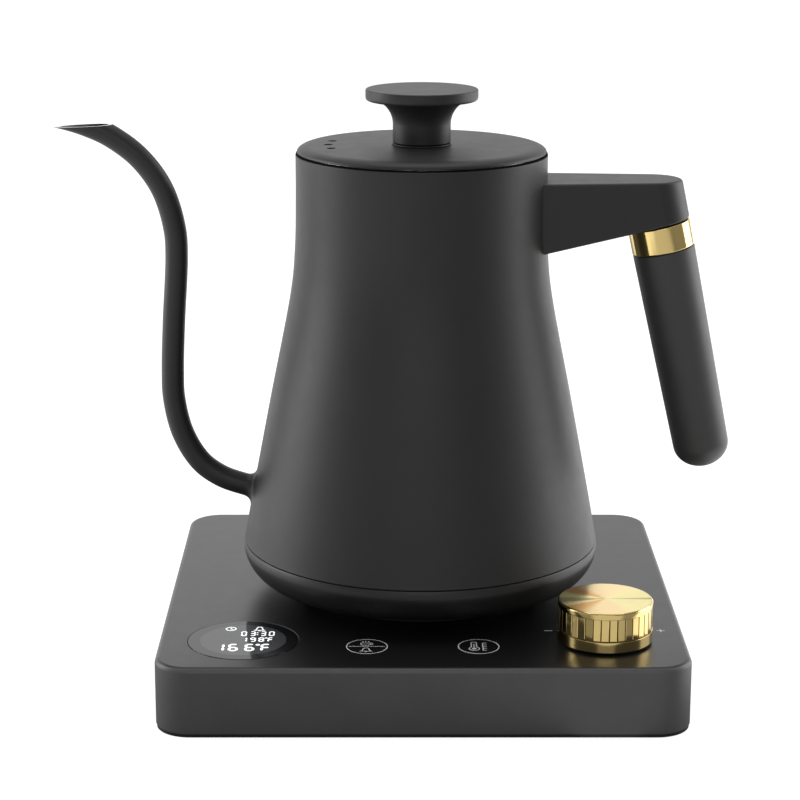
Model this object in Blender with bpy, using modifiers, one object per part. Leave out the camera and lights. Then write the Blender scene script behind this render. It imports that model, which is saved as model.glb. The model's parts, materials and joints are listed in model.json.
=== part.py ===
"""Electric gooseneck kettle on its square base: a steel body with a thin curved spout, a lift-off lid,
a bracket handle with a round grip, and a base with a display, two touch keys and a rotary dial."""

import math

import bmesh
import bpy
from mathutils import Vector

MM = 0.001
GAP = 0.3 * MM                     # air left between pieces that touch
MERGE = 0.00001

# Overall layout. The kettle stands on the middle of the base; the origin is under the middle of the whole.
SPOUT_REACH = 137.1 * MM           # spout tip to the kettle's axis
GRIP_REACH = 117.3 * MM            # outermost point of the grip to the kettle's axis
AXIS_X = (SPOUT_REACH - GRIP_REACH) / 2

# Base
BASE_X = 191.2 * MM
BASE_Y = 184.8 * MM
BASE_TOP = 26.0 * MM
BASE_SKIRT = 1.2 * MM              # height of the cover's lower edge
BASE_CORNER = 12.9 * MM
BASE_EDGE = 2.0 * MM
BASE_WALL = 2.4 * MM
PLATE_BOTTOM = 2.2 * MM
PLATE_THICKNESS = 2.2 * MM
FOOT_RADIUS = 8.0 * MM
FOOT_INSET = 17.0 * MM
SCREW_INSET = 9.5 * MM             # base screws, from the cover's inner faces
BOSS_RADIUS = 4.4 * MM
PILOT_RADIUS = 1.8 * MM            # threaded holes for the screws
PASS_RADIUS = 1.9 * MM             # holes that a screw passes through
SCREW_RADIUS = 1.5 * MM
SCREW_HEAD = 3.0 * MM
SCREW_TIP = 15 * MM                # height of the base screws' tips

# Connector in the middle of the base
PLUG_HOLE = 16.3 * MM
PLUG_BOSS = 15.8 * MM
PLUG_RADIUS = 12.4 * MM
PLUG_TOP = 37.4 * MM

# Controls on the base's top, from the kettle's axis
DISPLAY_AT = (-65.0 * MM, -63.2 * MM)
DISPLAY_RADIUS = 20.0 * MM
DISPLAY_WINDOW = 15.6 * MM
DISPLAY_LEDGE = 2.5 * MM           # width of the ledge that carries the glass
LENS_SEAT = BASE_TOP - 1.4 * MM    # height of that ledge
MODULE_BOTTOM = 20.9 * MM
KEY_X = 20.1 * MM
KEY_Y = -69.8 * MM
DIAL_AT = (66.1 * MM, -62.7 * MM)
DIAL_RADIUS = 17.15 * MM
DIAL_BOTTOM = 26.9 * MM
DIAL_TOP = 41.75 * MM
FLUTE_BOTTOM = 31.4 * MM
FLUTE_TOP = 39.4 * MM
DIAL_EDGE = 0.5 * MM               # chamfer of the top edge, and size of the groove below the flutes
DIAL_BORE = 15.2 * MM
HUB_RADIUS = 14.9 * MM
HUB_TOP = 39.6 * MM
ROTOR_RADIUS = 5.0 * MM
SHAFT_RADIUS = 2.8 * MM
SHAFT_HOLE = SHAFT_RADIUS + GAP
ROTOR_LEVELS = (16.9 * MM, 19.4 * MM)

# Circuit boards
BOARD = 1.6 * MM                   # thickness
CONTROL_TOP = 18.6 * MM            # upper face of the board behind the controls
POWER_TOP = 8.4 * MM               # upper face of the power board

# Kettle body: (height, radius) of its outside, from the seam to the rim
BODY_OUTLINE = [(46.1, 67.5), (64.8, 64.1), (102.3, 56.85), (139.8, 49.4), (158.6, 47.35), (177.3, 46.85),
                (193.6, 46.8)]
BODY_RIM = 194.7 * MM
BODY_WALL = 1.0 * MM
RIM_EDGE = 0.5 * MM                # width of the rim's rounded edge
NECK_RADIUS = 46.8 * MM
SEAM = 46.1 * MM
SEAM_RADIUS = BODY_OUTLINE[0][1] * MM
FLOOR_BOTTOM = 50.0 * MM
FLOOR_THICKNESS = 1.2 * MM
STUD_CIRCLE = 29.0 * MM
STUD_COUNT = 3
HEATER_RADIUS = 40.0 * MM
HEATER_TUBE = 3.3 * MM
SENSOR_Y = 16.0 * MM
SENSOR_RADIUS = 2.6 * MM

# Rounded cover under the seam
COVER_RADIUS = 67.7 * MM
COVER_WIDEST = 42.9 * MM           # height of its widest circle
COVER_DROP = 10.7 * MM
COVER_TUCK = 8.4 * MM
COVER_BOTTOM = 27.6 * MM
COVER_FOOT = 46.0 * MM
COVER_WALL = 2.0 * MM
SOCKET_HOLE = 17.0 * MM

# Spout: (distance from the axis, height) of its centre line, from the body to the mouth
SPOUT_ROUTE = [(60.0, 64.4), (66.5, 66.1), (76.4, 69.7), (84.6, 76.1), (90.8, 87.0), (93.8, 100.0),
               (94.1, 112.0),
               (93.3, 130.0), (91.7, 155.0), (92.6, 168.0), (96.8, 181.3), (104.6, 192.3), (114.5, 200.1),
               (123.7, 204.5), (133.4, 207.5), (146.0, 210.0)]
SPOUT_RADIUS = 4.25 * MM
SPOUT_BORE = 3.45 * MM
MOUTH_TIP = 203.9 * MM             # height of the level cut at the tip
MOUTH_BACK = 204.8 * MM            # and at the back of the mouth, 21 mm nearer to the body
MOUTH_LENGTH = 20.7 * MM

# Handle. Its grip leans outwards; HANDLE_AT is where the grip's axis meets the bracket's underside.
HANDLE_AT = (88.6 * MM, 168.0 * MM)
HANDLE_LEAN = math.radians(12.24)
BRACKET_TOP = 184.7 * MM
BRACKET_ROOT = 15.8 * MM           # half width at the body
BRACKET_END = 11.7 * MM            # radius of its round end
BRACKET_LENGTH = 50.0 * MM
MOUNT_LEVEL = 172.0 * MM           # height of the steel mount that carries the bracket
MOUNT_WIDTH = 18.0 * MM
MOUNT_HEIGHT = 16.0 * MM
LUG_WIDTH = 10.0 * MM
LUG_THICKNESS = 4.0 * MM
LUG_SCREW_X = 61.0 * MM
COLLAR_LENGTH = 9.5 * MM
COLLAR_RADIUS = 11.7 * MM
GRIP_TOP_RADIUS = 11.65 * MM
GRIP_LOW_RADIUS = 10.5 * MM
GRIP_LENGTH = 95.9 * MM            # from the bracket's underside to the grip's end
GRIP_ROUND = 9.0 * MM
ROD_RADIUS = 2.5 * MM
ROD_DEPTH = 66.0 * MM              # from the bracket's underside to the end of the grip's bore

# Lid
LID_RADIUS = 46.3 * MM
LID_BOTTOM = 195.0 * MM
LID_TOP = 197.3 * MM
LID_EDGE = 4.9 * MM                # width of the lid's rounded edge
VENT_CIRCLE = 34.6 * MM
VENT_RADIUS = 1.6 * MM
VENT_STEP = math.radians(16)
SKIRT_RADIUS = 44.2 * MM
SKIRT_BOTTOM = 181.0 * MM
SKIRT_WALL = 1.2 * MM
SCREW_HOLE = 2.4 * MM              # middle hole of the lid's parts
KNOB_RADIUS = 20.85 * MM
KNOB_TOP = 218.1 * MM
KNOB_EDGE = 4.2 * MM
KNOB_FOOT = 198.4 * MM
STEM_RADIUS = 10.75 * MM
FLARE_WIDTH = 8.0 * MM
FLARE_HEIGHT = 9.0 * MM

# Cord gland in the back wall
GLAND_HEIGHT = 14.0 * MM
GLAND_RADIUS = 6.4 * MM
GLAND_BORE = 3.6 * MM

CHARCOAL = (0.030, 0.030, 0.031)
BLACK = (0.012, 0.012, 0.013)
GOLD = (0.82, 0.58, 0.20)
STEEL = (0.62, 0.62, 0.63)
BOARD_GREEN = (0.02, 0.13, 0.06)
SILICONE = (0.05, 0.05, 0.05)
GLASS = (0.02, 0.02, 0.025)
COPPER = (0.72, 0.38, 0.22)
RED = (0.35, 0.02, 0.02)
BLUE = (0.02, 0.06, 0.35)


# ---------------------------------------------------------------- helpers

def clear_scene():
    for thing in list(bpy.data.objects):
        bpy.data.objects.remove(thing, do_unlink=True)


def make_collection(name):
    collection = bpy.data.collections.new(name)
    bpy.context.scene.collection.children.link(collection)
    return collection


def empty(name, location, lean=0.0):
    axis = bpy.data.objects.new(name, None)
    axis.location = location
    axis.rotation_euler = (0.0, lean, 0.0)
    PARTS.objects.link(axis)
    return axis


def add(name, mesh, parent, location=(0, 0, 0), rotation=(0, 0, 0)):
    thing = bpy.data.objects.new(name, mesh)
    PARTS.objects.link(thing)
    thing.parent = parent
    thing.location = location
    thing.rotation_euler = rotation
    return thing


def finish(thing, colour, roughness, metallic=0.0, sharp=30):
    """Gives a piece its own material and shades its round faces smooth."""
    material = bpy.data.materials.new(thing.name)
    material.use_nodes = True
    shader = material.node_tree.nodes["Principled BSDF"]
    shader.inputs["Base Color"].default_value = (*colour, 1.0)
    shader.inputs["Roughness"].default_value = roughness
    shader.inputs["Metallic"].default_value = metallic
    thing.data.materials.append(material)
    if thing.data.polygons:
        thing.data.shade_smooth()
        thing.data.set_sharp_from_angle(angle=math.radians(sharp))
    return thing


def turned(name, profile, parent, steps=24, closed=False, location=(0, 0, 0), rotation=(0, 0, 0)):
    """A profile of (radius, height) points turned about Z, down the outer side; an open one ends on Z."""
    mesh = bpy.data.meshes.new(name)
    points = [(radius, 0.0, height) for radius, height in profile]
    edges = [(i, i + 1) for i in range(len(points) - 1)]
    if closed:
        edges.append((len(points) - 1, 0))
    mesh.from_pydata(points, edges, [])
    thing = add(name, mesh, parent, location, rotation)
    screw = thing.modifiers.new("turn", "SCREW")
    screw.axis = "Z"
    screw.steps = steps
    screw.render_steps = steps
    screw.use_merge_vertices = True
    screw.merge_threshold = MERGE
    screw.use_smooth_shade = True
    return thing


def rod(name, radius, bottom, top, parent, steps=20, location=(0, 0, 0), rotation=(0, 0, 0)):
    profile = [(0, top), (radius, top), (radius, bottom), (0, bottom)]
    return turned(name, profile, parent, steps, False, location, rotation)


def ring(name, inner, outer, bottom, top, parent, steps=32, location=(0, 0, 0), rotation=(0, 0, 0)):
    profile = [(outer, top), (outer, bottom), (inner, bottom), (inner, top)]
    return turned(name, profile, parent, steps, True, location, rotation)


def box(name, size, centre, parent, corner=0.0, edge=0.0, corner_segments=6):
    """A block with round upright corners and, where edge is set, a rounded top edge."""
    shape = bmesh.new()
    bmesh.ops.create_cube(shape, size=1.0)
    bmesh.ops.scale(shape, vec=size, verts=shape.verts)
    if corner:
        upright = [e for e in shape.edges if abs(e.verts[0].co.z - e.verts[1].co.z) > size[2] / 2]
        bmesh.ops.bevel(shape, geom=upright, offset=corner, offset_type="OFFSET", segments=corner_segments,
                        profile=0.5, affect="EDGES")
    if edge:
        top = [e for e in shape.edges if min(v.co.z for v in e.verts) > size[2] / 2 - MERGE]
        bmesh.ops.bevel(shape, geom=top, offset=edge, offset_type="OFFSET", segments=3, profile=0.5,
                        affect="EDGES")
    mesh = bpy.data.meshes.new(name)
    shape.to_mesh(mesh)
    shape.free()
    return add(name, mesh, parent, centre)


def smooth_line(points, per_span):
    """Points along a smooth curve through the given ones (Catmull-Rom)."""
    points = [Vector(point) for point in points]
    ends = [2 * points[0] - points[1], *points, 2 * points[-1] - points[-2]]
    line = []
    for a, b, c, d in zip(ends, ends[1:], ends[2:], ends[3:]):
        for step in range(per_span):
            t = step / per_span
            line.append(0.5 * (2 * b + (c - a) * t + (2 * a - 5 * b + 4 * c - d) * t ** 2
                               + (3 * b - a - 3 * c + d) * t ** 3))
    line.append(points[-1])
    return line


def curve_mesh(name, curve, line, closed=False):
    """The mesh of a curve object that runs along the given points, with its ends welded."""
    spline = curve.splines.new("POLY")
    spline.points.add(len(line) - 1)
    for point, place in zip(spline.points, line):
        point.co = (*place, 1.0)
    spline.use_cyclic_u = closed
    guide = bpy.data.objects.new(name + "_line", curve)
    PARTS.objects.link(guide)
    bpy.context.view_layer.update()
    mesh = bpy.data.meshes.new_from_object(guide.evaluated_get(bpy.context.evaluated_depsgraph_get()))
    bpy.data.objects.remove(guide, do_unlink=True)
    shape = bmesh.new()
    shape.from_mesh(mesh)
    bmesh.ops.remove_doubles(shape, verts=shape.verts, dist=MERGE)
    bmesh.ops.recalc_face_normals(shape, faces=shape.faces)
    shape.to_mesh(mesh)
    shape.free()
    mesh.name = name
    return mesh


def tube(name, line, radius, parent, resolution=3):
    """A round bar along a line, as a mesh with welded ends."""
    curve = bpy.data.curves.new(name, "CURVE")
    curve.dimensions = "3D"
    curve.bevel_depth = radius
    curve.bevel_resolution = resolution
    curve.use_fill_caps = True
    return add(name, curve_mesh(name, curve, line), parent)


def as_cutter(thing):
    PARTS.objects.unlink(thing)
    CUTTERS.objects.link(thing)
    thing.hide_render = True
    thing.display_type = "WIRE"
    return thing


def combine(thing, other, operation):
    as_cutter(other)
    step = thing.modifiers.new(operation.lower(), "BOOLEAN")
    step.operation = operation
    step.solver = "EXACT"
    step.object = other


def cut(thing, *cutters):
    for cutter in cutters:
        combine(thing, cutter, "DIFFERENCE")


def join(thing, *others):
    for other in others:
        combine(thing, other, "UNION")


def arc(centre, radii, start, end, steps):
    """Points of an elliptical arc in the (radius, height) plane; 0 degrees points outwards and 90 up."""
    points = []
    for step in range(steps + 1):
        angle = math.radians(start + (end - start) * step / steps)
        points.append((centre[0] + radii[0] * math.cos(angle), centre[1] + radii[1] * math.sin(angle)))
    return points


def fillister_screw(name, radius, head_radius, head, tip, parent, location=(0, 0, 0), rotation=(0, 0, 0)):
    """A screw standing tip up: its head's lower face is at head[0], its shank runs from head[1] to tip."""
    profile = [(0, tip), (radius, tip), (radius, head[1]), (head_radius, head[1]), (head_radius, head[0]),
               (0, head[0])]
    return turned(name, profile, parent, 12, False, location, rotation)


# ---------------------------------------------------------------- base

def base_corners(inset):
    x = BASE_X / 2 - inset
    y = BASE_Y / 2 - inset
    return [("front_left", -x, -y), ("front_right", x, -y), ("back_left", -x, y), ("back_right", x, y)]


def make_base_cover():
    height = BASE_TOP - BASE_SKIRT
    cover = box("base_cover", (BASE_X, BASE_Y, height), (0, 0, BASE_SKIRT + height / 2), BASE,
                BASE_CORNER, BASE_EDGE, 7)
    hollow = box("base_hollow", (BASE_X - 2 * BASE_WALL, BASE_Y - 2 * BASE_WALL, height),
                 (0, 0, BASE_SKIRT + height / 2 - BASE_WALL), BASE, BASE_CORNER - BASE_WALL)
    cut(cover, hollow)
    inset = BASE_WALL + SCREW_INSET
    for name, x, y in base_corners(inset):
        boss_bottom = PLATE_BOTTOM + PLATE_THICKNESS + GAP
        join(cover, rod("boss_" + name, BOSS_RADIUS, boss_bottom, BASE_TOP - BASE_WALL / 2, BASE, 16,
                        (x, y, 0)))
    for name, x, y in base_corners(inset):
        cut(cover, rod("boss_bore_" + name, PILOT_RADIUS, 0, SCREW_TIP + 3 * MM, BASE, 12, (x, y, 0)))
    cut(cover, rod("plug_hole", PLUG_HOLE, 10 * MM, 40 * MM, BASE, 36))
    cut(cover, rod("lens_seat", DISPLAY_RADIUS + GAP, LENS_SEAT, 40 * MM, BASE, 40, (*DISPLAY_AT, 0)))
    cut(cover, rod("display_hole", DISPLAY_RADIUS - DISPLAY_LEDGE, 10 * MM, 30 * MM, BASE, 32,
                   (*DISPLAY_AT, 0)))
    cut(cover, rod("dial_hole", 4.3 * MM, 10 * MM, 40 * MM, BASE, 16, (*DIAL_AT, 0)))
    cut(cover, rod("gland_hole", GLAND_RADIUS + GAP, 0, 10 * MM, BASE, 24,
                   (0, BASE_Y / 2 + 4 * MM, GLAND_HEIGHT), (math.radians(90), 0, 0)))
    finish(cover, CHARCOAL, 0.42)


def make_base_underside():
    inner = BASE_WALL + GAP
    plate = box("base_plate", (BASE_X - 2 * inner, BASE_Y - 2 * inner, PLATE_THICKNESS),
                (0, 0, PLATE_BOTTOM + PLATE_THICKNESS / 2), BASE, BASE_CORNER - inner)
    for name, x, y in base_corners(BASE_WALL + SCREW_INSET):
        cut(plate, rod("plate_bore_" + name, PASS_RADIUS, 0, 10 * MM, BASE, 12, (x, y, 0)))
        screw = fillister_screw("base_screw_" + name, SCREW_RADIUS, SCREW_HEAD,
                                (PLATE_BOTTOM - GAP - 1.4 * MM, PLATE_BOTTOM - GAP), SCREW_TIP, BASE,
                                (x, y, 0))
        finish(screw, STEEL, 0.35, 1.0)
    finish(plate, BLACK, 0.6)
    for name, x, y in base_corners(BASE_WALL + FOOT_INSET + FOOT_RADIUS):
        foot = rod("foot_" + name, FOOT_RADIUS, 0, PLATE_BOTTOM - GAP, BASE, 20, (x, y, 0))
        finish(foot, SILICONE, 0.8)


def make_display():
    lens = rod("display_lens", DISPLAY_RADIUS, LENS_SEAT + GAP, BASE_TOP + 0.1 * MM, BASE, 40,
               (*DISPLAY_AT, 0))
    finish(lens, GLASS, 0.05)
    bezel = ring("display_bezel", DISPLAY_WINDOW, DISPLAY_RADIUS - DISPLAY_LEDGE - GAP,
                 MODULE_BOTTOM + 2 * MM, LENS_SEAT, BASE, 32, (*DISPLAY_AT, 0))
    finish(bezel, BLACK, 0.5)
    module = rod("display_module", DISPLAY_WINDOW - GAP, MODULE_BOTTOM, LENS_SEAT, BASE, 32,
                 (*DISPLAY_AT, 0))
    finish(module, (0.08, 0.09, 0.09), 0.2)
    board = rod("display_board", 18.6 * MM, MODULE_BOTTOM - GAP - BOARD, MODULE_BOTTOM - GAP, BASE, 24,
                (*DISPLAY_AT, 0))
    finish(board, BOARD_GREEN, 0.5)


def make_boards():
    control = box("control_board", (94 * MM, 32 * MM, BOARD), (6 * MM, -70 * MM, CONTROL_TOP - BOARD / 2),
                  BASE)
    finish(control, BOARD_GREEN, 0.5)
    for name, x in (("touch_pad_left", -KEY_X), ("touch_pad_right", KEY_X)):
        pad = rod(name, 7.0 * MM, CONTROL_TOP + GAP, BASE_TOP - BASE_WALL - GAP, BASE, 20, (x, KEY_Y, 0))
        finish(pad, COPPER, 0.35, 1.0)
    buzzer = rod("buzzer", 5.5 * MM, CONTROL_TOP + GAP, 22.8 * MM, BASE, 20, (42 * MM, -66 * MM, 0))
    finish(buzzer, BLACK, 0.4)

    power = box("power_board", (100 * MM, 46 * MM, BOARD), (0, 56 * MM, POWER_TOP - BOARD / 2), BASE)
    finish(power, BOARD_GREEN, 0.5)
    relay = box("relay", (19 * MM, 15 * MM, 12 * MM), (-36 * MM, 62 * MM, POWER_TOP + GAP + 6 * MM), BASE)
    finish(relay, BLUE, 0.4)
    transformer = box("transformer", (22 * MM, 19 * MM, 13 * MM),
                      (34 * MM, 62 * MM, POWER_TOP + GAP + 6.5 * MM), BASE)
    finish(transformer, (0.25, 0.19, 0.06), 0.5)
    capacitor = rod("capacitor", 6.5 * MM, POWER_TOP + GAP, 21 * MM, BASE, 20, (-14 * MM, 66 * MM, 0))
    finish(capacitor, BLACK, 0.35)


def make_connector():
    plug_profile = [(0, PLUG_TOP), (PLUG_RADIUS - 1 * MM, PLUG_TOP), (PLUG_RADIUS, PLUG_TOP - 1 * MM),
                    (PLUG_RADIUS, 27.1 * MM), (PLUG_BOSS, 27.1 * MM), (PLUG_BOSS, 23.2 * MM),
                    (19 * MM, 23.2 * MM),
                    (19 * MM, 20.8 * MM), (13.4 * MM, 20.8 * MM), (13.4 * MM, 13 * MM), (0, 13 * MM)]
    plug = turned("connector_plug", plug_profile, CONNECTOR, 28)
    cut(plug, ring("plug_slot", 5.6 * MM, 8.0 * MM, 30 * MM, 45 * MM, CONNECTOR, 20))
    cut(plug, rod("plug_pin_hole", 2.2 * MM, 28 * MM, 45 * MM, CONNECTOR, 16))
    finish(plug, BLACK, 0.45)
    retainer = ring("connector_retainer", 13.8 * MM, 22 * MM, 17.5 * MM, 20.4 * MM, BASE, 24)
    finish(retainer, BLACK, 0.5)
    for name, side, colour in (("lead_live", -1, RED), ("lead_neutral", 1, BLUE)):
        route = [(side * 6 * MM, 39 * MM, 10.4 * MM), (side * 5.5 * MM, 31 * MM, 10.8 * MM),
                 (side * 5 * MM, 22 * MM, 9.4 * MM), (side * 4.5 * MM, 12 * MM, 7.6 * MM),
                 (side * 4.4 * MM, 5 * MM, 8.4 * MM), (side * 4.4 * MM, 2.5 * MM, 12.4 * MM)]
        lead = tube(name, smooth_line(route, 3), 1.3 * MM, BASE, 2)
        finish(lead, colour, 0.4)


def make_gland():
    """A bush in the back wall, flush outside, with a collar inside. The cord passes through its bore."""
    inside = BASE_WALL + GAP
    profile = [(GLAND_RADIUS, 0), (GLAND_RADIUS, -inside), (9 * MM, -inside), (9 * MM, -inside - 2 * MM),
               (GLAND_RADIUS, -inside - 2 * MM), (GLAND_RADIUS, -12 * MM), (GLAND_BORE, -12 * MM),
               (GLAND_BORE, 0)]
    gland = turned("cord_gland", profile, BASE, 24, True, (0, BASE_Y / 2, GLAND_HEIGHT),
                   (math.radians(-90), 0, 0))
    finish(gland, BLACK, 0.6)


# ---------------------------------------------------------------- dial and its encoder

def make_dial():
    board = box("encoder_board", (20 * MM, 20 * MM, BOARD), (0, 0, 13.8 * MM), DIAL)
    finish(board, BOARD_GREEN, 0.5)
    encoder = box("encoder_body", (12.4 * MM, 12.4 * MM, 7 * MM), (0, 0, 18.4 * MM), DIAL)
    join(encoder, rod("bushing", 3.9 * MM, 20 * MM, 28.9 * MM, DIAL, 20))
    low, high = ROTOR_LEVELS
    cavity = [(0, 40 * MM), (SHAFT_HOLE, 40 * MM), (SHAFT_HOLE, high + GAP), (ROTOR_RADIUS + GAP, high + GAP),
              (ROTOR_RADIUS + GAP, low - GAP), (SHAFT_HOLE, low - GAP), (SHAFT_HOLE, low - 1.1 * MM),
              (0, low - 1.1 * MM)]
    cut(encoder, turned("encoder_cavity", cavity, DIAL, 20))
    finish(encoder, STEEL, 0.4, 1.0)
    nut = ring("encoder_nut", 4.9 * MM, 7.0 * MM, BASE_TOP + GAP, 28.2 * MM, DIAL, 6)
    nut.modifiers["turn"].use_smooth_shade = False
    finish(nut, STEEL, 0.4, 1.0)
    rotor = ring("encoder_rotor", SHAFT_HOLE, ROTOR_RADIUS, low, high, DIAL, 20)
    finish(rotor, COPPER, 0.4, 1.0)
    shaft = rod("encoder_shaft", SHAFT_RADIUS, low, HUB_TOP - 1.7 * MM, DIAL, 20)
    finish(shaft, STEEL, 0.35, 1.0)
    hub_profile = [(0, HUB_TOP), (HUB_RADIUS, HUB_TOP), (HUB_RADIUS, 30.2 * MM), (SHAFT_HOLE, 30.2 * MM),
                   (SHAFT_HOLE, HUB_TOP - 1.4 * MM), (0, HUB_TOP - 1.4 * MM)]
    finish(turned("dial_hub", hub_profile, DIAL, 20), BLACK, 0.5)
    groove = DIAL_RADIUS - DIAL_EDGE
    band = DIAL_RADIUS - 0.2 * MM
    knob_profile = [(0, DIAL_TOP), (DIAL_RADIUS - DIAL_EDGE, DIAL_TOP), (DIAL_RADIUS, DIAL_TOP - DIAL_EDGE),
                    (DIAL_RADIUS, FLUTE_TOP), (band, FLUTE_TOP), (band, FLUTE_BOTTOM),
                    (groove, FLUTE_BOTTOM), (groove, FLUTE_BOTTOM - DIAL_EDGE),
                    (DIAL_RADIUS, FLUTE_BOTTOM - DIAL_EDGE), (DIAL_RADIUS, DIAL_BOTTOM),
                    (DIAL_BORE, DIAL_BOTTOM), (DIAL_BORE, HUB_TOP + GAP), (0, HUB_TOP + GAP)]
    finish(turned("dial_knob", knob_profile, DIAL, 32), GOLD, 0.22, 1.0)


# ---------------------------------------------------------------- kettle

def body_profile(offset, low, high):
    """The body's outline from the top down, moved inwards by offset and kept between two heights."""
    line = smooth_line([(radius * MM, 0, height * MM) for height, radius in BODY_OUTLINE], 2)
    points = [(point.x - offset, point.z) for point in reversed(line)]
    return [point for point in points if low <= point[1] <= high]


def body_radius(height):
    """The body's outer radius at a height."""
    points = body_profile(0, 0, BODY_RIM)
    for upper, lower in zip(points, points[1:]):
        if lower[1] <= height <= upper[1]:
            share = (height - lower[1]) / (upper[1] - lower[1])
            return lower[0] + share * (upper[0] - lower[0])
    return NECK_RADIUS


def make_body():
    outside = body_profile(0, 0, BODY_RIM)
    shoulder = arc((NECK_RADIUS - RIM_EDGE, BODY_RIM - 2 * RIM_EDGE), (RIM_EDGE, 2 * RIM_EDGE), 90, 30, 2)
    inside = body_profile(BODY_WALL, 0, BODY_RIM)[::-1]
    profile = shoulder + outside + inside + [(NECK_RADIUS - BODY_WALL, BODY_RIM)]
    shell = turned("body_shell", profile, KETTLE, 40, True)
    route = smooth_line([(-x * MM, 0, z * MM) for x, z in SPOUT_ROUTE[:3]], 1)
    inlet = [2 * route[0] - route[1], *route]
    cut(shell, tube("spout_hole", inlet, SPOUT_RADIUS + GAP, KETTLE, 4))
    finish(shell, CHARCOAL, 0.5)


def make_floor():
    """The pot's bottom, with a skirt for the weld and three studs for the cover's screws."""
    top = FLOOR_BOTTOM + FLOOR_THICKNESS
    radius = body_radius(top) - BODY_WALL - GAP
    profile = [(0, top), (radius, top), (radius, FLOOR_BOTTOM), (0, FLOOR_BOTTOM)]
    floor = turned("pot_floor", profile, KETTLE, 32)
    for number in range(STUD_COUNT):
        x, y = stud_place(number)
        join(floor, ring(f"stud_{number}", PILOT_RADIUS, 3.4 * MM, 36 * MM, FLOOR_BOTTOM + 0.5 * MM, KETTLE,
                         16, (x, y, 0)))
    cut(floor, rod("sensor_hole", SENSOR_RADIUS + GAP, 40 * MM, 60 * MM, KETTLE, 16, (0, SENSOR_Y, 0)))
    finish(floor, STEEL, 0.3, 1.0)


def stud_place(number):
    angle = math.radians(90 + 360 * number / STUD_COUNT)
    return STUD_CIRCLE * math.cos(angle), STUD_CIRCLE * math.sin(angle)


def make_heater():
    centre = (HEATER_RADIUS, FLOOR_BOTTOM - GAP - HEATER_TUBE)
    profile = arc(centre, (HEATER_TUBE, HEATER_TUBE), 90, -210, 5)
    finish(turned("heating_element", profile, KETTLE, 24, True), STEEL, 0.45, 1.0)
    flange = FLOOR_BOTTOM - GAP
    sensor_profile = [(0, 57 * MM), (SENSOR_RADIUS, 57 * MM), (SENSOR_RADIUS, flange), (5 * MM, flange),
                      (5 * MM, flange - 2.2 * MM), (0, flange - 2.2 * MM)]
    sensor = turned("temperature_sensor", sensor_profile, KETTLE, 16, False, (0, SENSOR_Y, 0))
    finish(sensor, STEEL, 0.3, 1.0)
    cutout = box("thermal_cutout", (20 * MM, 9 * MM, 3 * MM), (0, -6 * MM, 43.6 * MM), KETTLE)
    finish(cutout, BLACK, 0.5)


def cover_curve(steps):
    """The rounded outside of the lower cover, from its widest circle down to where it turns level."""
    power = 1.24
    points = []
    for step in range(steps + 1):
        angle = math.radians(72 * step / steps)
        radius = COVER_RADIUS - COVER_TUCK * (1 - math.cos(angle) ** power)
        points.append((radius, COVER_WIDEST - COVER_DROP * math.sin(angle) ** power))
    return points


def make_lower_cover():
    outside = [(SEAM_RADIUS, SEAM - GAP)] + cover_curve(5)
    underside = [(COVER_FOOT, COVER_BOTTOM), (SOCKET_HOLE, COVER_BOTTOM)]
    floor = COVER_BOTTOM + COVER_WALL
    inside = [(SOCKET_HOLE, floor), (COVER_FOOT, floor), (57.5 * MM, 34 * MM), (63 * MM, 37.5 * MM),
              (65.4 * MM, 42.5 * MM), (65.4 * MM, SEAM - GAP)]
    cover = turned("lower_cover", outside + underside + inside, KETTLE, 40, True)
    for number in range(STUD_COUNT):
        x, y = stud_place(number)
        cut(cover, rod(f"cover_bore_{number}", PASS_RADIUS, 20 * MM, 35 * MM, KETTLE, 12, (x, y, 0)))
        cut(cover, rod(f"cover_sink_{number}", 3.4 * MM, 20 * MM, COVER_BOTTOM + 1 * MM, KETTLE, 16,
                       (x, y, 0)))
        screw = fillister_screw(f"cover_screw_{number + 1}", SCREW_RADIUS, SCREW_HEAD,
                                (COVER_BOTTOM - 0.6 * MM, COVER_BOTTOM + 0.7 * MM), 45 * MM, KETTLE,
                                (x, y, 0))
        finish(screw, STEEL, 0.35, 1.0)
    finish(cover, CHARCOAL, 0.5)
    foot = ring("kettle_foot_ring", 40.5 * MM, 45 * MM, BASE_TOP + GAP, COVER_BOTTOM - GAP, KETTLE, 28)
    finish(foot, SILICONE, 0.8)


def make_socket():
    floor = COVER_BOTTOM + COVER_WALL
    profile = [(0, 41.6 * MM), (16.4 * MM, 41.6 * MM), (16.4 * MM, floor + 2.3 * MM),
               (20 * MM, floor + 2.3 * MM),
               (20 * MM, floor + GAP), (16.4 * MM, floor + GAP), (16.4 * MM, 27.8 * MM),
               (PLUG_RADIUS + 0.8 * MM, 27.8 * MM), (PLUG_RADIUS + 0.8 * MM, 38.4 * MM), (0, 38.4 * MM)]
    finish(turned("connector_socket", profile, KETTLE, 28), BLACK, 0.5)


def make_spout():
    route = [(-x * MM, 0, z * MM) for x, z in SPOUT_ROUTE]
    spout = tube("spout_tube", smooth_line(route, 2), SPOUT_RADIUS, KETTLE, 3)
    first, second = Vector(route[0]), Vector(route[1])
    last, before = Vector(route[-1]), Vector(route[-2])
    bore = [tuple(2 * first - second), *route, tuple(2 * last - before)]
    cut(spout, tube("spout_bore", smooth_line(bore, 2), SPOUT_BORE, KETTLE, 2))
    lean = math.atan2(MOUTH_BACK - MOUTH_TIP, MOUTH_LENGTH)
    level = box("mouth_cut", (60 * MM, 30 * MM, 20 * MM), (0, 0, 0), KETTLE)
    level.rotation_euler = (0, -lean, 0)
    level.location = (-SPOUT_REACH, 0, MOUTH_TIP + 10 * MM * math.cos(lean))
    cut(spout, level)
    finish(spout, CHARCOAL, 0.5)


# ---------------------------------------------------------------- handle

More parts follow.
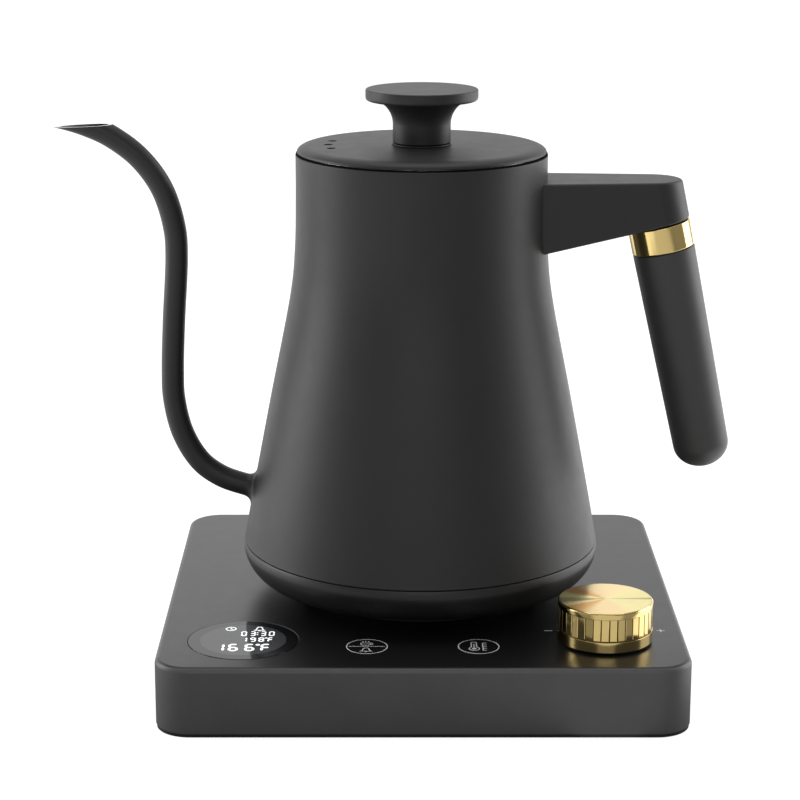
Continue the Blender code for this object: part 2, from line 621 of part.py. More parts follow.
def make_bracket():
    """A wedge with a round end. Its sides run along the grip's lean; its top is level."""
    height = 32 * MM
    outline = [(-BRACKET_LENGTH, BRACKET_ROOT, 0), (-BRACKET_LENGTH, -BRACKET_ROOT, 0)]
    outline += [(x, y, 0) for x, y in arc((0, 0), (BRACKET_END, BRACKET_END), -84, 84, 12)]
    curve = bpy.data.curves.new("bracket_outline", "CURVE")
    curve.dimensions = "2D"
    curve.fill_mode = "BOTH"
    curve.extrude = height / 2
    mesh = curve_mesh("handle_bracket", curve, outline, True)
    bracket = add("handle_bracket", mesh, HANDLE, (0, 0, height / 2))
    cut(bracket, box("bracket_top_cut", (160 * MM, 60 * MM, 40 * MM), (80 * MM, 0, BRACKET_TOP + 20 * MM),
                     KETTLE))
    outside = body_profile(-GAP, 100 * MM, 200 * MM)
    neck_cut = [(0, 230 * MM), (NECK_RADIUS + GAP, 230 * MM)] + outside
    neck_cut += [(outside[-1][0], 100 * MM), (0, 100 * MM)]
    cut(bracket, turned("neck_cut", neck_cut, KETTLE, 48))
    room = 2 * GAP
    mount_pocket = (8 * MM + room, MOUNT_WIDTH + room, MOUNT_HEIGHT + room)
    cut(bracket, box("mount_pocket", mount_pocket, (46.7 * MM, 0, MOUNT_LEVEL), KETTLE))
    lug_pocket = (22 * MM, LUG_WIDTH + room, LUG_THICKNESS + room)
    cut(bracket, box("lug_pocket", lug_pocket, (56.6 * MM, 0, MOUNT_LEVEL), KETTLE))
    cut(bracket, rod("bracket_screw_bore", PASS_RADIUS, 150 * MM, 178.5 * MM, KETTLE, 12,
                     (LUG_SCREW_X, 0, 0)))
    cut(bracket, rod("bracket_screw_sink", 3.5 * MM, 150 * MM, 164.4 * MM, KETTLE, 16, (LUG_SCREW_X, 0, 0)))
    cut(bracket, rod("rod_bore_bracket", ROD_RADIUS + GAP, -5 * MM, 10 * MM, HANDLE, 16))
    finish(bracket, CHARCOAL, 0.5)


def make_handle_mount():
    mount = box("handle_mount", (3.2 * MM, MOUNT_WIDTH, MOUNT_HEIGHT), (49.1 * MM, 0, MOUNT_LEVEL), KETTLE)
    join(mount, box("mount_lug", (17 * MM, LUG_WIDTH, LUG_THICKNESS), (58.6 * MM, 0, MOUNT_LEVEL), KETTLE))
    cut(mount, rod("lug_bore", PASS_RADIUS, 160 * MM, 180 * MM, KETTLE, 12, (LUG_SCREW_X, 0, 0)))
    finish(mount, STEEL, 0.35, 1.0)
    screw = fillister_screw("bracket_screw", 1.6 * MM, 3.1 * MM, (162.2 * MM, 164.1 * MM), 178 * MM, KETTLE,
                            (LUG_SCREW_X, 0, 0))
    finish(screw, STEEL, 0.35, 1.0)


def make_grip():
    collar_top = -GAP
    collar_bottom = collar_top - COLLAR_LENGTH
    bore = ROD_RADIUS + GAP
    collar = ring("handle_collar", bore, COLLAR_RADIUS, collar_bottom, collar_top, HANDLE, 24)
    finish(collar, GOLD, 0.12, 1.0)
    top = collar_bottom - GAP
    end = -GRIP_LENGTH
    round_start = end + GRIP_ROUND
    tip = arc((0, round_start), (GRIP_LOW_RADIUS, GRIP_ROUND), 0, -90, 6)
    bore_end = -ROD_DEPTH
    profile = [(0, bore_end), (bore, bore_end), (bore, top), (GRIP_TOP_RADIUS, top)] + tip
    finish(turned("handle_grip", profile, HANDLE, 24), CHARCOAL, 0.5)
    finish(rod("handle_rod", ROD_RADIUS, bore_end + GAP, 9.5 * MM, HANDLE, 16), STEEL, 0.4, 1.0)


# ---------------------------------------------------------------- lid

def make_lid():
    edge_height = LID_TOP - LID_BOTTOM
    edge = arc((LID_RADIUS - LID_EDGE, LID_BOTTOM), (LID_EDGE, edge_height), 90, 0, 4)
    plate = turned("lid_plate", [(SCREW_HOLE, LID_TOP)] + edge + [(SCREW_HOLE, LID_BOTTOM)], LID, 40, True)
    flange_bottom = LID_BOTTOM - GAP - SKIRT_WALL
    inner = SKIRT_RADIUS - SKIRT_WALL
    skirt_profile = [(SKIRT_RADIUS, LID_BOTTOM - GAP), (SKIRT_RADIUS, SKIRT_BOTTOM), (inner, SKIRT_BOTTOM),
                     (inner, flange_bottom), (SCREW_HOLE, flange_bottom), (SCREW_HOLE, LID_BOTTOM - GAP)]
    skirt = turned("lid_skirt", skirt_profile, LID, 32, True)
    for number in (-1, 0, 1):
        angle = math.pi + number * VENT_STEP
        place = (VENT_CIRCLE * math.cos(angle), VENT_CIRCLE * math.sin(angle), 0)
        cut(plate, rod(f"vent_{number + 2}", VENT_RADIUS, 185 * MM, 205 * MM, LID, 14, place))
        cut(skirt, rod(f"skirt_vent_{number + 2}", VENT_RADIUS + GAP, 185 * MM, 205 * MM, LID, 14, place))
    finish(plate, CHARCOAL, 0.5)
    finish(skirt, STEEL, 0.3, 1.0)
    seal = ring("lid_seal", SKIRT_RADIUS + GAP, NECK_RADIUS - BODY_WALL - GAP, 184 * MM, 187 * MM, LID, 32)
    finish(seal, SILICONE, 0.8)
    washer = ring("lid_washer", SCREW_HOLE, 11 * MM, LID_TOP + GAP, KNOB_FOOT - GAP, LID, 20)
    finish(washer, BLACK, 0.6)
    edge_bottom = KNOB_TOP - KNOB_EDGE
    chamfer = 0.5 * MM
    flare = arc((STEM_RADIUS + FLARE_WIDTH, edge_bottom - FLARE_HEIGHT), (FLARE_WIDTH, FLARE_HEIGHT), 90,
                180, 5)
    knob_profile = [(0, KNOB_TOP), (KNOB_RADIUS - chamfer, KNOB_TOP), (KNOB_RADIUS, KNOB_TOP - chamfer),
                    (KNOB_RADIUS, edge_bottom + chamfer), (KNOB_RADIUS - chamfer, edge_bottom)]
    knob_profile += flare + [(STEM_RADIUS, KNOB_FOOT), (2.3 * MM, KNOB_FOOT), (2.3 * MM, 209 * MM),
                             (0, 209 * MM)]
    finish(turned("lid_knob", knob_profile, LID, 28), CHARCOAL, 0.5)
    screw = fillister_screw("lid_screw", 2.0 * MM, 4.2 * MM,
                            (flange_bottom - GAP - 2.6 * MM, flange_bottom - GAP), 208 * MM, LID)
    finish(screw, STEEL, 0.35, 1.0)


# ---------------------------------------------------------------- assembly

clear_scene()
PARTS = make_collection("gooseneck_kettle")
CUTTERS = make_collection("cutters")

BASE = empty("base_axis", (AXIS_X, 0, 0))
CONNECTOR = empty("connector_axis", (AXIS_X, 0, 0))
KETTLE = empty("kettle_axis", (AXIS_X, 0, 0))
LID = empty("lid_axis", (AXIS_X, 0, 0))
DIAL = empty("dial_axis", (AXIS_X + DIAL_AT[0], DIAL_AT[1], 0))
HANDLE = empty("handle_axis", (AXIS_X + HANDLE_AT[0], 0, HANDLE_AT[1]), -HANDLE_LEAN)

make_base_cover()
make_base_underside()
make_display()
make_boards()
make_connector()
make_gland()
make_dial()
make_body()
make_floor()
make_heater()
make_lower_cover()
make_socket()
make_spout()
make_bracket()
make_handle_mount()
make_grip()
make_lid()
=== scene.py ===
import json
import math

import bmesh
import bpy
from mathutils import Matrix, Vector


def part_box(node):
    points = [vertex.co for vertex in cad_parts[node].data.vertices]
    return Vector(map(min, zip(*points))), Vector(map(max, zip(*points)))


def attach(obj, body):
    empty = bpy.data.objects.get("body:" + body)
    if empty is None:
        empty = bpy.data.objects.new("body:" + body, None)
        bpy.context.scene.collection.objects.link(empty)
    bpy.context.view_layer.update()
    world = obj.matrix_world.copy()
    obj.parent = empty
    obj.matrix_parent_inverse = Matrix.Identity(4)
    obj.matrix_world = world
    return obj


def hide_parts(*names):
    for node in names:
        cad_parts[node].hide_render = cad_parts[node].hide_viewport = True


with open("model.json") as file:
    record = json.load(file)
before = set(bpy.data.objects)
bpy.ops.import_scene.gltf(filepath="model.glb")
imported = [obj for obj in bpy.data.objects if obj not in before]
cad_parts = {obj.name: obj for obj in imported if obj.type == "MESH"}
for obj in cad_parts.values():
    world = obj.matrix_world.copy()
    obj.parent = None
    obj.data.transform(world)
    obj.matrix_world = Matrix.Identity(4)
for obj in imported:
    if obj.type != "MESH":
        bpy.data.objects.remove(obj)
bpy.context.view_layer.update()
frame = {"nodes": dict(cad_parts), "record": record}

MM = 0.001
GAP = 0.3 * MM


# ---------------------------------------------------------------- places and sizes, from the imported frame

def middle(node):
    low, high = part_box(node)
    return (low + high) / 2


def foot_of(node):
    """The point on the floor under a node's middle."""
    centre = middle(node)
    return Vector((centre.x, centre.y, 0))


BODY_LOW, BODY_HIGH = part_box("body_shell")
AXIS = Vector((middle("lower_cover").x, 0, 0))          # the kettle's axis, through the middle of the base
BASE_LOW, BASE_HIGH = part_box("base_cover")
BASE_TOP = BASE_HIGH.z
BASE_CORNER = 12.9 * MM
BASE_EDGE = 2.0 * MM
BASE_WALL = 2.4 * MM
CORNERS = ("front_left", "front_right", "back_left", "back_right")
PLUG_HOLE = 16.3 * MM
DIAL_HOLE = 4.3 * MM

LENS_LOW, LENS_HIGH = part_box("display_lens")
DISPLAY = foot_of("display_lens")
DISPLAY_RADIUS = (LENS_HIGH.x - LENS_LOW.x) / 2
WINDOW_RADIUS = 15.6 * MM
KEY_RADIUS = 7.5 * MM
PRINT_LEVELS = (BASE_TOP - 0.05 * MM, BASE_TOP + 0.02 * MM)   # printed marks stand in and out of the cover

DIAL_LOW, DIAL_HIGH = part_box("dial_knob")
DIAL = foot_of("dial_knob")
DIAL_RADIUS = (DIAL_HIGH.x - DIAL_LOW.x) / 2
FLUTE_COUNT = 36

# Height and radius of the body's outside, in mm
BODY_OUTLINE = [(46.1, 67.5), (64.8, 64.1), (102.3, 56.85), (139.8, 49.4), (158.6, 47.35), (177.3, 46.85),
                (193.6, 46.8)]
RIM = BODY_HIGH.z
SEAM = BODY_LOW.z
BODY_WALL = 1.0 * MM
# Distance from the kettle's axis and height, in mm
SPOUT_ROUTE = [(60.0, 64.4), (66.5, 66.1), (76.4, 69.7), (84.6, 76.1), (90.8, 87.0), (93.8, 100.0),
               (94.1, 112.0), (93.3, 130.0), (91.7, 155.0), (92.6, 168.0), (96.8, 181.3), (104.6, 192.3),
               (114.5, 200.1), (123.7, 204.5), (133.4, 207.5), (146.0, 210.0)]
SPOUT_RADIUS = 4.25 * MM
SPOUT_BORE = 3.45 * MM
MOUTH_TIP = Vector((AXIS.x - 137.1 * MM, 0, 203.9 * MM))
MOUTH_BACK = Vector((AXIS.x - 116.4 * MM, 0, 204.8 * MM))

COLLAR = middle("handle_collar")
HANDLE_LEAN = math.radians(12.24)
HANDLE = Matrix.Translation(COLLAR) @ Matrix.Rotation(-HANDLE_LEAN, 4, "Y")
COLLAR_RADIUS = 11.7 * MM
COLLAR_HALF = 4.75 * MM
GRIP_TOP_RADIUS = 11.65 * MM
GRIP_LOW_RADIUS = 10.5 * MM
GRIP_END = COLLAR_HALF + GAP - 95.9 * MM
BRACKET_UNDERSIDE = COLLAR_HALF + GAP
BRACKET_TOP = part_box("handle_bracket")[1].z

LID_LOW, LID_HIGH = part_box("lid_plate")
LID_RADIUS = (LID_HIGH.x - LID_LOW.x) / 2
KNOB_LOW, KNOB_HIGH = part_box("lid_knob")
KNOB_RADIUS = (KNOB_HIGH.y - KNOB_LOW.y) / 2
STEM_RADIUS = 10.75 * MM
VENT_CIRCLE = 34.6 * MM
VENT_RADIUS = 1.6 * MM
VENT_STEP = math.radians(16)


# ---------------------------------------------------------------- materials

class Surface:
    """A Principled material and short names for the nodes that feed it."""

    def __init__(self, name, **sockets):
        self.material = bpy.data.materials.new(name)
        self.material.use_nodes = True
        self.tree = self.material.node_tree
        self.shader = self.tree.nodes["Principled BSDF"]
        self.place = self.node("ShaderNodeTexCoord").outputs["Object"]
        for socket, value in sockets.items():
            self.shader.inputs[socket.replace("_", " ")].default_value = value

    def node(self, kind, **settings):
        made = self.tree.nodes.new(kind)
        for setting, value in settings.items():
            setattr(made, setting, value)
        return made

    def link(self, source, target):
        self.tree.links.new(source, target)

    def noise(self, scale, detail=3.0, rough=0.55, stretch=None):
        """Noise over the piece; scale is in cells per metre, and stretch scales it along X, Y and Z."""
        made = self.node("ShaderNodeTexNoise")
        made.inputs["Scale"].default_value = scale
        made.inputs["Detail"].default_value = detail
        made.inputs["Roughness"].default_value = rough
        place = self.place
        if stretch:
            mapping = self.node("ShaderNodeMapping")
            mapping.inputs["Scale"].default_value = stretch
            self.link(place, mapping.inputs["Vector"])
            place = mapping.outputs["Vector"]
        self.link(place, made.inputs["Vector"])
        return made.outputs["Fac"]

    def spread(self, source, low, high, start=0.3, end=0.7):
        """Maps a noise from start..end to low..high."""
        made = self.node("ShaderNodeMapRange")
        for socket, value in (("From Min", start), ("From Max", end), ("To Min", low), ("To Max", high)):
            made.inputs[socket].default_value = value
        self.link(source, made.inputs["Value"])
        return made.outputs["Result"]

    def math(self, operation, *values):
        made = self.node("ShaderNodeMath", operation=operation)
        for number, value in enumerate(values):
            if isinstance(value, (int, float)):
                made.inputs[number].default_value = value
            else:
                self.link(value, made.inputs[number])
        return made.outputs["Value"]

    def ramp(self, source, stops):
        """Colours the surface by a value; stops are (value, colour) in rising order."""
        made = self.node("ShaderNodeValToRGB")
        elements = made.color_ramp.elements
        while len(elements) < len(stops):
            elements.new(0.5)
        for element, (place, tint) in zip(elements, stops):
            element.position = place
            element.color = (*tint, 1.0)
        self.link(source, made.inputs["Fac"])
        self.link(made.outputs["Color"], self.shader.inputs["Base Color"])

    def colour(self, source, dark, light, start=0.3, end=0.7):
        """Colours a noise from dark to light."""
        self.ramp(source, [(start, dark), (end, light)])

    def roughness(self, source, low, high):
        self.link(self.spread(source, low, high), self.shader.inputs["Roughness"])

    def bump(self, *layers):
        """Layers of (height source, depth in metres), each on top of the one before."""
        normal = None
        for source, depth in layers:
            made = self.node("ShaderNodeBump")
            made.inputs["Distance"].default_value = depth
            self.link(source, made.inputs["Height"])
            if normal:
                self.link(normal, made.inputs["Normal"])
            normal = made.outputs["Normal"]
        self.link(normal, self.shader.inputs["Normal"])

    def radius(self):
        """Distance from the piece's own Z axis."""
        flat = self.node("ShaderNodeVectorMath", operation="MULTIPLY")
        flat.inputs[1].default_value = (1.0, 1.0, 0.0)
        self.link(self.place, flat.inputs[0])
        length = self.node("ShaderNodeVectorMath", operation="LENGTH")
        self.link(flat.outputs["Vector"], length.inputs[0])
        return length.outputs["Value"]

    def rings(self, scale):
        """Noise that changes only with the distance from the piece's Z axis, like turning marks."""
        made = self.node("ShaderNodeTexNoise", noise_dimensions="1D")
        made.inputs["Scale"].default_value = scale
        made.inputs["Detail"].default_value = 4.0
        self.link(self.radius(), made.inputs["W"])
        return made.outputs["Fac"]


def shades(colour, share):
    """A darker and a lighter version of a colour."""
    return tuple(c * (1 - share) for c in colour), tuple(min(1.0, c * (1 + share)) for c in colour)


def matt(name, colour, rough, grain, depth, share=0.12, **sockets):
    """A fine-grained matt or satin surface: mottled colour, uneven roughness and a grain."""
    made = Surface(name, **sockets)
    made.colour(made.noise(90, 4), *shades(colour, share))
    made.roughness(made.noise(160, 2), rough * 0.96, rough * 1.04)
    made.bump((made.noise(grain, 2), depth))
    return made.material


def turned_metal(name, colour, rough, marks=6000, depth=0.004 * MM, **sockets):
    """Polished or brushed metal with faint turning marks around the piece's Z axis."""
    made = Surface(name, Metallic=1.0, **sockets)
    made.colour(made.noise(60, 2), *shades(colour, 0.04))
    made.roughness(made.rings(marks / 4), rough * 0.85, rough * 1.15)
    made.bump((made.rings(marks), depth))
    return made.material


def brushed_metal(name, colour, rough, stretch, **sockets):
    """Metal with brush strokes: a noise that is drawn out along one direction."""
    made = Surface(name, Metallic=1.0, **sockets)
    made.colour(made.noise(50, 3), *shades(colour, 0.08))
    strokes = made.noise(900, 3, 0.6, stretch)
    made.roughness(strokes, rough - 0.07, rough + 0.07)
    made.bump((strokes, 0.01 * MM))
    return made.material


def spun_brass_painted_rays(name):
    """Finely spun brass with painted reflections: cream, peach, amber and dark rays out from the centre are a
    colour ramp around the axis, standing for the highlights of the spun marks.
    """
    made = Surface(name, Metallic=1.0, Anisotropic=0.8)
    angle = made.node("ShaderNodeTexGradient", gradient_type="RADIAL")
    made.link(made.place, angle.inputs["Vector"])
    # Painted reflections: the rays' colours are set by the angle around the axis.
    cream, peach, amber, dark = (1.0, 0.88, 0.40), (1.0, 0.76, 0.38), (0.86, 0.46, 0.13), (0.46, 0.38, 0.18)
    rays = [(0.0, dark), (0.03, dark), (0.05, cream), (0.07, cream), (0.09, amber), (0.13, amber),
            (0.18, peach), (0.30, peach), (0.37, cream), (0.485, cream), (0.5, dark), (0.515, cream),
            (0.60, cream), (0.68, peach), (0.82, peach), (0.87, amber), (0.91, amber), (0.94, cream),
            (0.97, cream), (1.0, dark)]
    made.ramp(angle.outputs["Fac"], rays)
    made.roughness(made.rings(1500), 0.2, 0.26)
    made.bump((made.rings(9000), 0.001 * MM))
    return made.material


def circuit_board(name):
    """Green solder mask with lighter tracks under it."""
    made = Surface(name, Roughness=0.35)
    cells = made.node("ShaderNodeTexVoronoi", distance="CHEBYCHEV")
    cells.inputs["Scale"].default_value = 260
    made.link(made.place, cells.inputs["Vector"])
    made.colour(cells.outputs["Distance"], (0.012, 0.075, 0.035), (0.03, 0.19, 0.09), 0.35, 0.5)
    made.roughness(made.noise(300), 0.3, 0.42)
    made.bump((cells.outputs["Distance"], 0.03 * MM))
    return made.material


def lit(name, colour, strength):
    """Lit segments, slightly uneven in brightness."""
    made = Surface(name, Roughness=0.4)
    made.colour(made.noise(500, 1), *shades(colour, 0.05))
    glow = made.spread(made.noise(350, 1), strength * 0.94, strength * 1.06)
    made.link(glow, made.shader.inputs["Emission Strength"])
    made.shader.inputs["Emission Color"].default_value = (*colour, 1.0)
    return made.material


CHARCOAL = (0.016, 0.016, 0.0163)
GRIP = (0.046, 0.046, 0.0463)
BRASS = (0.87, 0.66, 0.27)
STEEL = (0.60, 0.60, 0.61)

COATING = matt("charcoal_powder_coat", CHARCOAL, 0.46, 2600, 0.005 * MM, 0.06, Specular_IOR_Level=0.45)
# Painted shadow: a near-black finish for the top of the body's rim, standing for the dark gap round the lid.
GAP_SHADOW = matt("rim_gap_painted_shadow", (0.002, 0.002, 0.002), 0.9, 2600, 0.002 * MM, 0.1, Specular_IOR_Level=0.05)
PLASTIC = matt("charcoal_moulded_plastic", CHARCOAL, 0.46, 3200, 0.005 * MM, 0.06)
GRIP_PLASTIC = matt("grip_soft_plastic", GRIP, 0.46, 3200, 0.005 * MM, 0.06)
COVER_PLASTIC = matt("lower_shell_plastic", (0.009, 0.009, 0.0092), 0.42, 3200, 0.004 * MM, 0.06)
# Painted light and shade: one plastic split into a lighter copy for the base's sides and a far darker copy
# for its top, by how light falls on them.
BASE_PLASTIC_LIT = matt("base_satin_plastic_painted_light", (0.086, 0.086, 0.0865), 0.42, 3000, 0.003 * MM, 0.05)
BASE_TOP_SHADE = matt("base_top_painted_shade", (0.007, 0.007, 0.0072), 0.32, 1500, 0.0008 * MM, 0.05,
                       Specular_IOR_Level=0.58)
BLACK_PLASTIC = matt("black_moulded_plastic", (0.012, 0.012, 0.013), 0.5, 2400, 0.015 * MM, 0.15)
RUBBER = matt("soft_rubber", (0.026, 0.026, 0.027), 0.78, 1800, 0.02 * MM, 0.2)
BLUE_PLASTIC = matt("blue_plastic", (0.02, 0.06, 0.3), 0.35, 2000, 0.01 * MM)
BROWN_PLASTIC = matt("brown_plastic", (0.2, 0.09, 0.03), 0.38, 2000, 0.01 * MM)
PRINT = matt("white_print", (0.72, 0.72, 0.71), 0.5, 5000, 0.004 * MM, 0.05)
GLASS = matt("display_black_glass", (0.008, 0.008, 0.0085), 0.07, 400, 0.0003 * MM, 0.1)
WINDOW = matt("display_window", (0.062, 0.064, 0.068), 0.06, 400, 0.0003 * MM, 0.1)
DIGITS = lit("lit_segments", (0.95, 0.97, 1.0), 0.9)
BRASS_SIDE = turned_metal("polished_brass", BRASS, 0.10, 4000, 0.001 * MM)
BRASS_TOP = spun_brass_painted_rays("spun_brass_painted_rays")
# Painted shade: a dark brass for the dial's groove faces, standing for the shade in the grooves.
BRASS_GROOVE_SHADE = turned_metal("brass_groove_painted_shade", (0.16, 0.11, 0.05), 0.4)
STEEL_TURNED = turned_metal("turned_steel", STEEL, 0.3)
STEEL_BRUSHED = brushed_metal("brushed_steel", STEEL, 0.34, (1.0, 1.0, 0.06))
STEEL_FINE = brushed_metal("fastener_steel", (0.5, 0.5, 0.51), 0.32, (1.0, 0.2, 0.2))
# Painted shade: a dark steel for the spout's bore, standing for the shade inside the pipe.
STEEL_BORE_SHADE = turned_metal("steel_bore_painted_shade", (0.10, 0.10, 0.10), 0.45)
BARE_EDGE = turned_metal("bare_steel_edge", (0.72, 0.72, 0.72), 0.25)
COPPER = brushed_metal("copper_foil", (0.72, 0.40, 0.24), 0.3, (0.1, 1.0, 1.0))
BOARD = circuit_board("circuit_board")


def radial_tangent(material):
    """Turns a metal's stretched highlights around the piece's Z axis."""
    tree = material.node_tree
    tangent = tree.nodes.new("ShaderNodeTangent")
    tangent.direction_type = "RADIAL"
    tangent.axis = "Z"
    tree.links.new(tangent.outputs["Tangent"], tree.nodes["Principled BSDF"].inputs["Tangent"])


radial_tangent(BRASS_TOP)

BY_SLOT = {
    "charcoal_coating": COATING, "charcoal_plastic": PLASTIC, "base_shell": BASE_PLASTIC_LIT,
    "black_plastic": BLACK_PLASTIC, "rubber": RUBBER, "gold": BRASS_SIDE, "display_glass": GLASS,
    "display_panel": WINDOW, "circuit_board": BOARD, "copper": COPPER, "steel": STEEL_BRUSHED,
    "fastener_steel": STEEL_FINE, "blue_plastic": BLUE_PLASTIC, "brown_plastic": BROWN_PLASTIC,
}


def dress_cad_nodes():
    """Gives every node that stays in view the procedural material of its slot."""
    for row in frame["record"]["subparts"]:
        node = frame["nodes"][row["node"]]
        node.material_slots[0].material = BY_SLOT[row["material_slot"]]
        smooth(node.data, 32)


# ---------------------------------------------------------------- mesh helpers

def smooth(mesh, angle=35):
    """Round faces look smooth, and edges over an angle stay sharp."""
    mesh.shade_smooth()
    mesh.set_sharp_from_angle(angle=math.radians(angle))


def add(name, data):
    """A new object in the scene."""
    made = bpy.data.objects.new(name, data)
    bpy.context.scene.collection.objects.link(made)
    return made


def new_object(name, shape, materials, at=None, angle=35):
    """An object from a bmesh, with smooth round faces and sharp edges over an angle."""
    bmesh.ops.recalc_face_normals(shape, faces=shape.faces)
    mesh = bpy.data.meshes.new(name)
    shape.to_mesh(mesh)
    shape.free()
    for material in materials:
        mesh.materials.append(material)
    smooth(mesh, angle)
    made = add(name, mesh)
    if isinstance(at, Matrix):
        made.matrix_world = at
    elif at is not None:
        made.location = at
    return made


def place(piece, body, slot, *nodes):
    """Puts a finished piece on its body and hides the CAD nodes that it stands for; slot, the name of its
    finish, is not used.
    """
    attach(piece, body)
    if nodes:
        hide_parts(*nodes)


def arc(centre, radii, start, end, steps):
    """Points of an elliptical arc; angles are in degrees, from the first axis towards the second."""
    points = []
    for step in range(steps + 1):
        angle = math.radians(start + (end - start) * step / steps)
        points.append((centre[0] + radii[0] * math.cos(angle), centre[1] + radii[1] * math.sin(angle)))
    return points


def rounded(corners, steps=5, closed=True):
    """An outline through (radius, height, rounding) corners; each is rounded over that distance."""
    outline = []
    for number, (x, z, size) in enumerate(corners):
        here = Vector((x, z))
        if size == 0 or (not closed and number in (0, len(corners) - 1)):
            outline.append(here)
            continue
        before = Vector(corners[number - 1][:2]) - here
        after = Vector(corners[(number + 1) % len(corners)][:2]) - here
        start = here + before.normalized() * min(size, before.length * 0.49)
        end = here + after.normalized() * min(size, after.length * 0.49)
        for step in range(steps + 1):
            t = step / steps
            outline.append((1 - t) ** 2 * start + 2 * t * (1 - t) * here + t * t * end)
    return outline


def join_rings(shape, first, second):
    """Faces between two rings of points; a ring of one point is a pole."""
    count = max(len(first), len(second))
    for i in range(count):
        j = (i + 1) % count
        corners = (first[i % len(first)], second[i % len(second)],
                   second[j % len(second)], first[j % len(first)])
        loop = list(dict.fromkeys(corners))
        if len(loop) > 2:
            shape.faces.new(loop)


def skin(shape, rings, closed=False):
    """Faces between each ring of points and the next one."""
    for first, second in zip(rings, rings[1:] + rings[:1] if closed else rings[1:]):
        join_rings(shape, first, second)


def turn(outline, segments=128, closed=True, radius_at=None):
    """A bmesh of an outline turned about Z; radius_at(radius, height, angle) may shape it."""
    shape = bmesh.new()
    rings = []
    for radius, height in outline:
        if radius < 0.001 * MM:
            rings.append([shape.verts.new((0, 0, height))])
            continue
        ring = []
        for step in range(segments):
            angle = 2 * math.pi * step / segments
            r = radius_at(radius, height, angle) if radius_at else radius
            ring.append(shape.verts.new((r * math.cos(angle), r * math.sin(angle), height)))
        rings.append(ring)
    skin(shape, rings, closed)
    return shape


def lathe(name, outline, materials, at=AXIS, segments=128, closed=True, angle=35):
    return new_object(name, turn(outline, segments, closed), materials, at, angle)


def carve(piece, *cutters, operation="DIFFERENCE"):
    """Cuts shapes out of a piece, or joins them to it, and applies the result."""
    for cutter in cutters:
        step = piece.modifiers.new("carve", "BOOLEAN")
        step.operation = operation
        step.solver = "EXACT"
        step.object = cutter
    bpy.context.view_layer.update()
    result = piece.evaluated_get(bpy.context.evaluated_depsgraph_get())
    mesh = bpy.data.meshes.new_from_object(result)
    piece.modifiers.clear()
    piece.data = mesh
    for cutter in cutters:
        bpy.data.objects.remove(cutter, do_unlink=True)
    smooth(mesh)


def even_shading(piece):
    """Keeps large flat faces flat next to their rounded edges."""
    step = piece.modifiers.new("even_shading", "WEIGHTED_NORMAL")
    step.keep_sharp = True
    step.weight = 90


def rod(radius, low, high, at, chamfer=0.0, segments=64):
    """A cutter: an upright rod, wider by chamfer at its upper end."""
    outline = [(0, high + 5 * MM), (radius + chamfer, high + 5 * MM), (radius + chamfer, high),
               (radius, high - chamfer), (radius, low), (0, low)]
    if not chamfer:
        outline = [(0, high), (radius, high), (radius, low), (0, low)]
    return lathe("cutter", outline, [], at, segments, False)


def rectangle(size_x, size_y, corner, steps=16):
    """Points around a rectangle with round corners, centred on the origin."""
    points = []
    for quarter, (side_x, side_y) in enumerate(((1, 1), (-1, 1), (-1, -1), (1, -1))):
        centre = (side_x * (size_x / 2 - corner), side_y * (size_y / 2 - corner))
        points += arc(centre, (corner, corner), 90 * quarter, 90 * quarter + 90, steps)
    return points


def smooth_line(points, per_span):
    """Points along a smooth curve through the given ones (Catmull-Rom)."""
    points = [Vector(point) for point in points]
    ends = [2 * points[0] - points[1], *points, 2 * points[-1] - points[-2]]
    line = []
    for a, b, c, d in zip(ends, ends[1:], ends[2:], ends[3:]):
        for step in range(per_span):
            t = step / per_span
            line.append(0.5 * (2 * b + (c - a) * t + (2 * a - 5 * b + 4 * c - d) * t ** 2
                               + (3 * b - a - 3 * c + d) * t ** 3))
    line.append(points[-1])
    return line


def prism(shape, loop, low, high):
    """Adds an upright block with the given outline to a bmesh."""
    upper = [shape.verts.new((x, y, high)) for x, y in loop]
    lower = [shape.verts.new((x, y, low)) for x, y in loop]
    shape.faces.new(upper)
    shape.faces.new(lower[::-1])
    join_rings(shape, upper, lower)


def stroke(shape, points, width, low, high, closed=False):
    """Adds a printed line of a constant width through the points, as one raised strip."""
    line = [Vector(point) for point in points]
    sides = []
    for number, here in enumerate(line):
        before = line[number - 1] if closed or number else None
        after = line[(number + 1) % len(line)] if closed or number < len(line) - 1 else None
        into = (here - before).normalized() if before is not None else (after - here).normalized()
        out = (after - here).normalized() if after is not None else into
        bisector = (into + out).normalized()
        across = Vector((-bisector.y, bisector.x)) * (width / 2 / max(0.4, bisector.dot(into)))
        sides.append((here + across, here - across))
    if closed:
        rings = []
        for height in (high, low):
            rings.append(([shape.verts.new((*a, height)) for a, b in sides],
                          [shape.verts.new((*b, height)) for a, b in sides]))
        (top_a, top_b), (low_a, low_b) = rings
        skin(shape, [top_a, top_b, low_b, low_a], True)
    else:
        prism(shape, [a for a, b in sides] + [b for a, b in reversed(sides)], low, high)


def circle(centre, radius, steps=48, start=0, end=360):
    """Points along a circle in plan; a full one doesn't repeat its first point."""
    points = arc(centre, (radius, radius), start, end, steps)
    return points[:-1] if end - start == 360 else points


# ---------------------------------------------------------------- base

def base_ring(shape, inset, height):
    size = BASE_HIGH - BASE_LOW
    corner = BASE_CORNER - inset
    points = rectangle(size.x - 2 * inset, size.y - 2 * inset, corner)
    return [shape.verts.new((x, y, height)) for x, y in points]


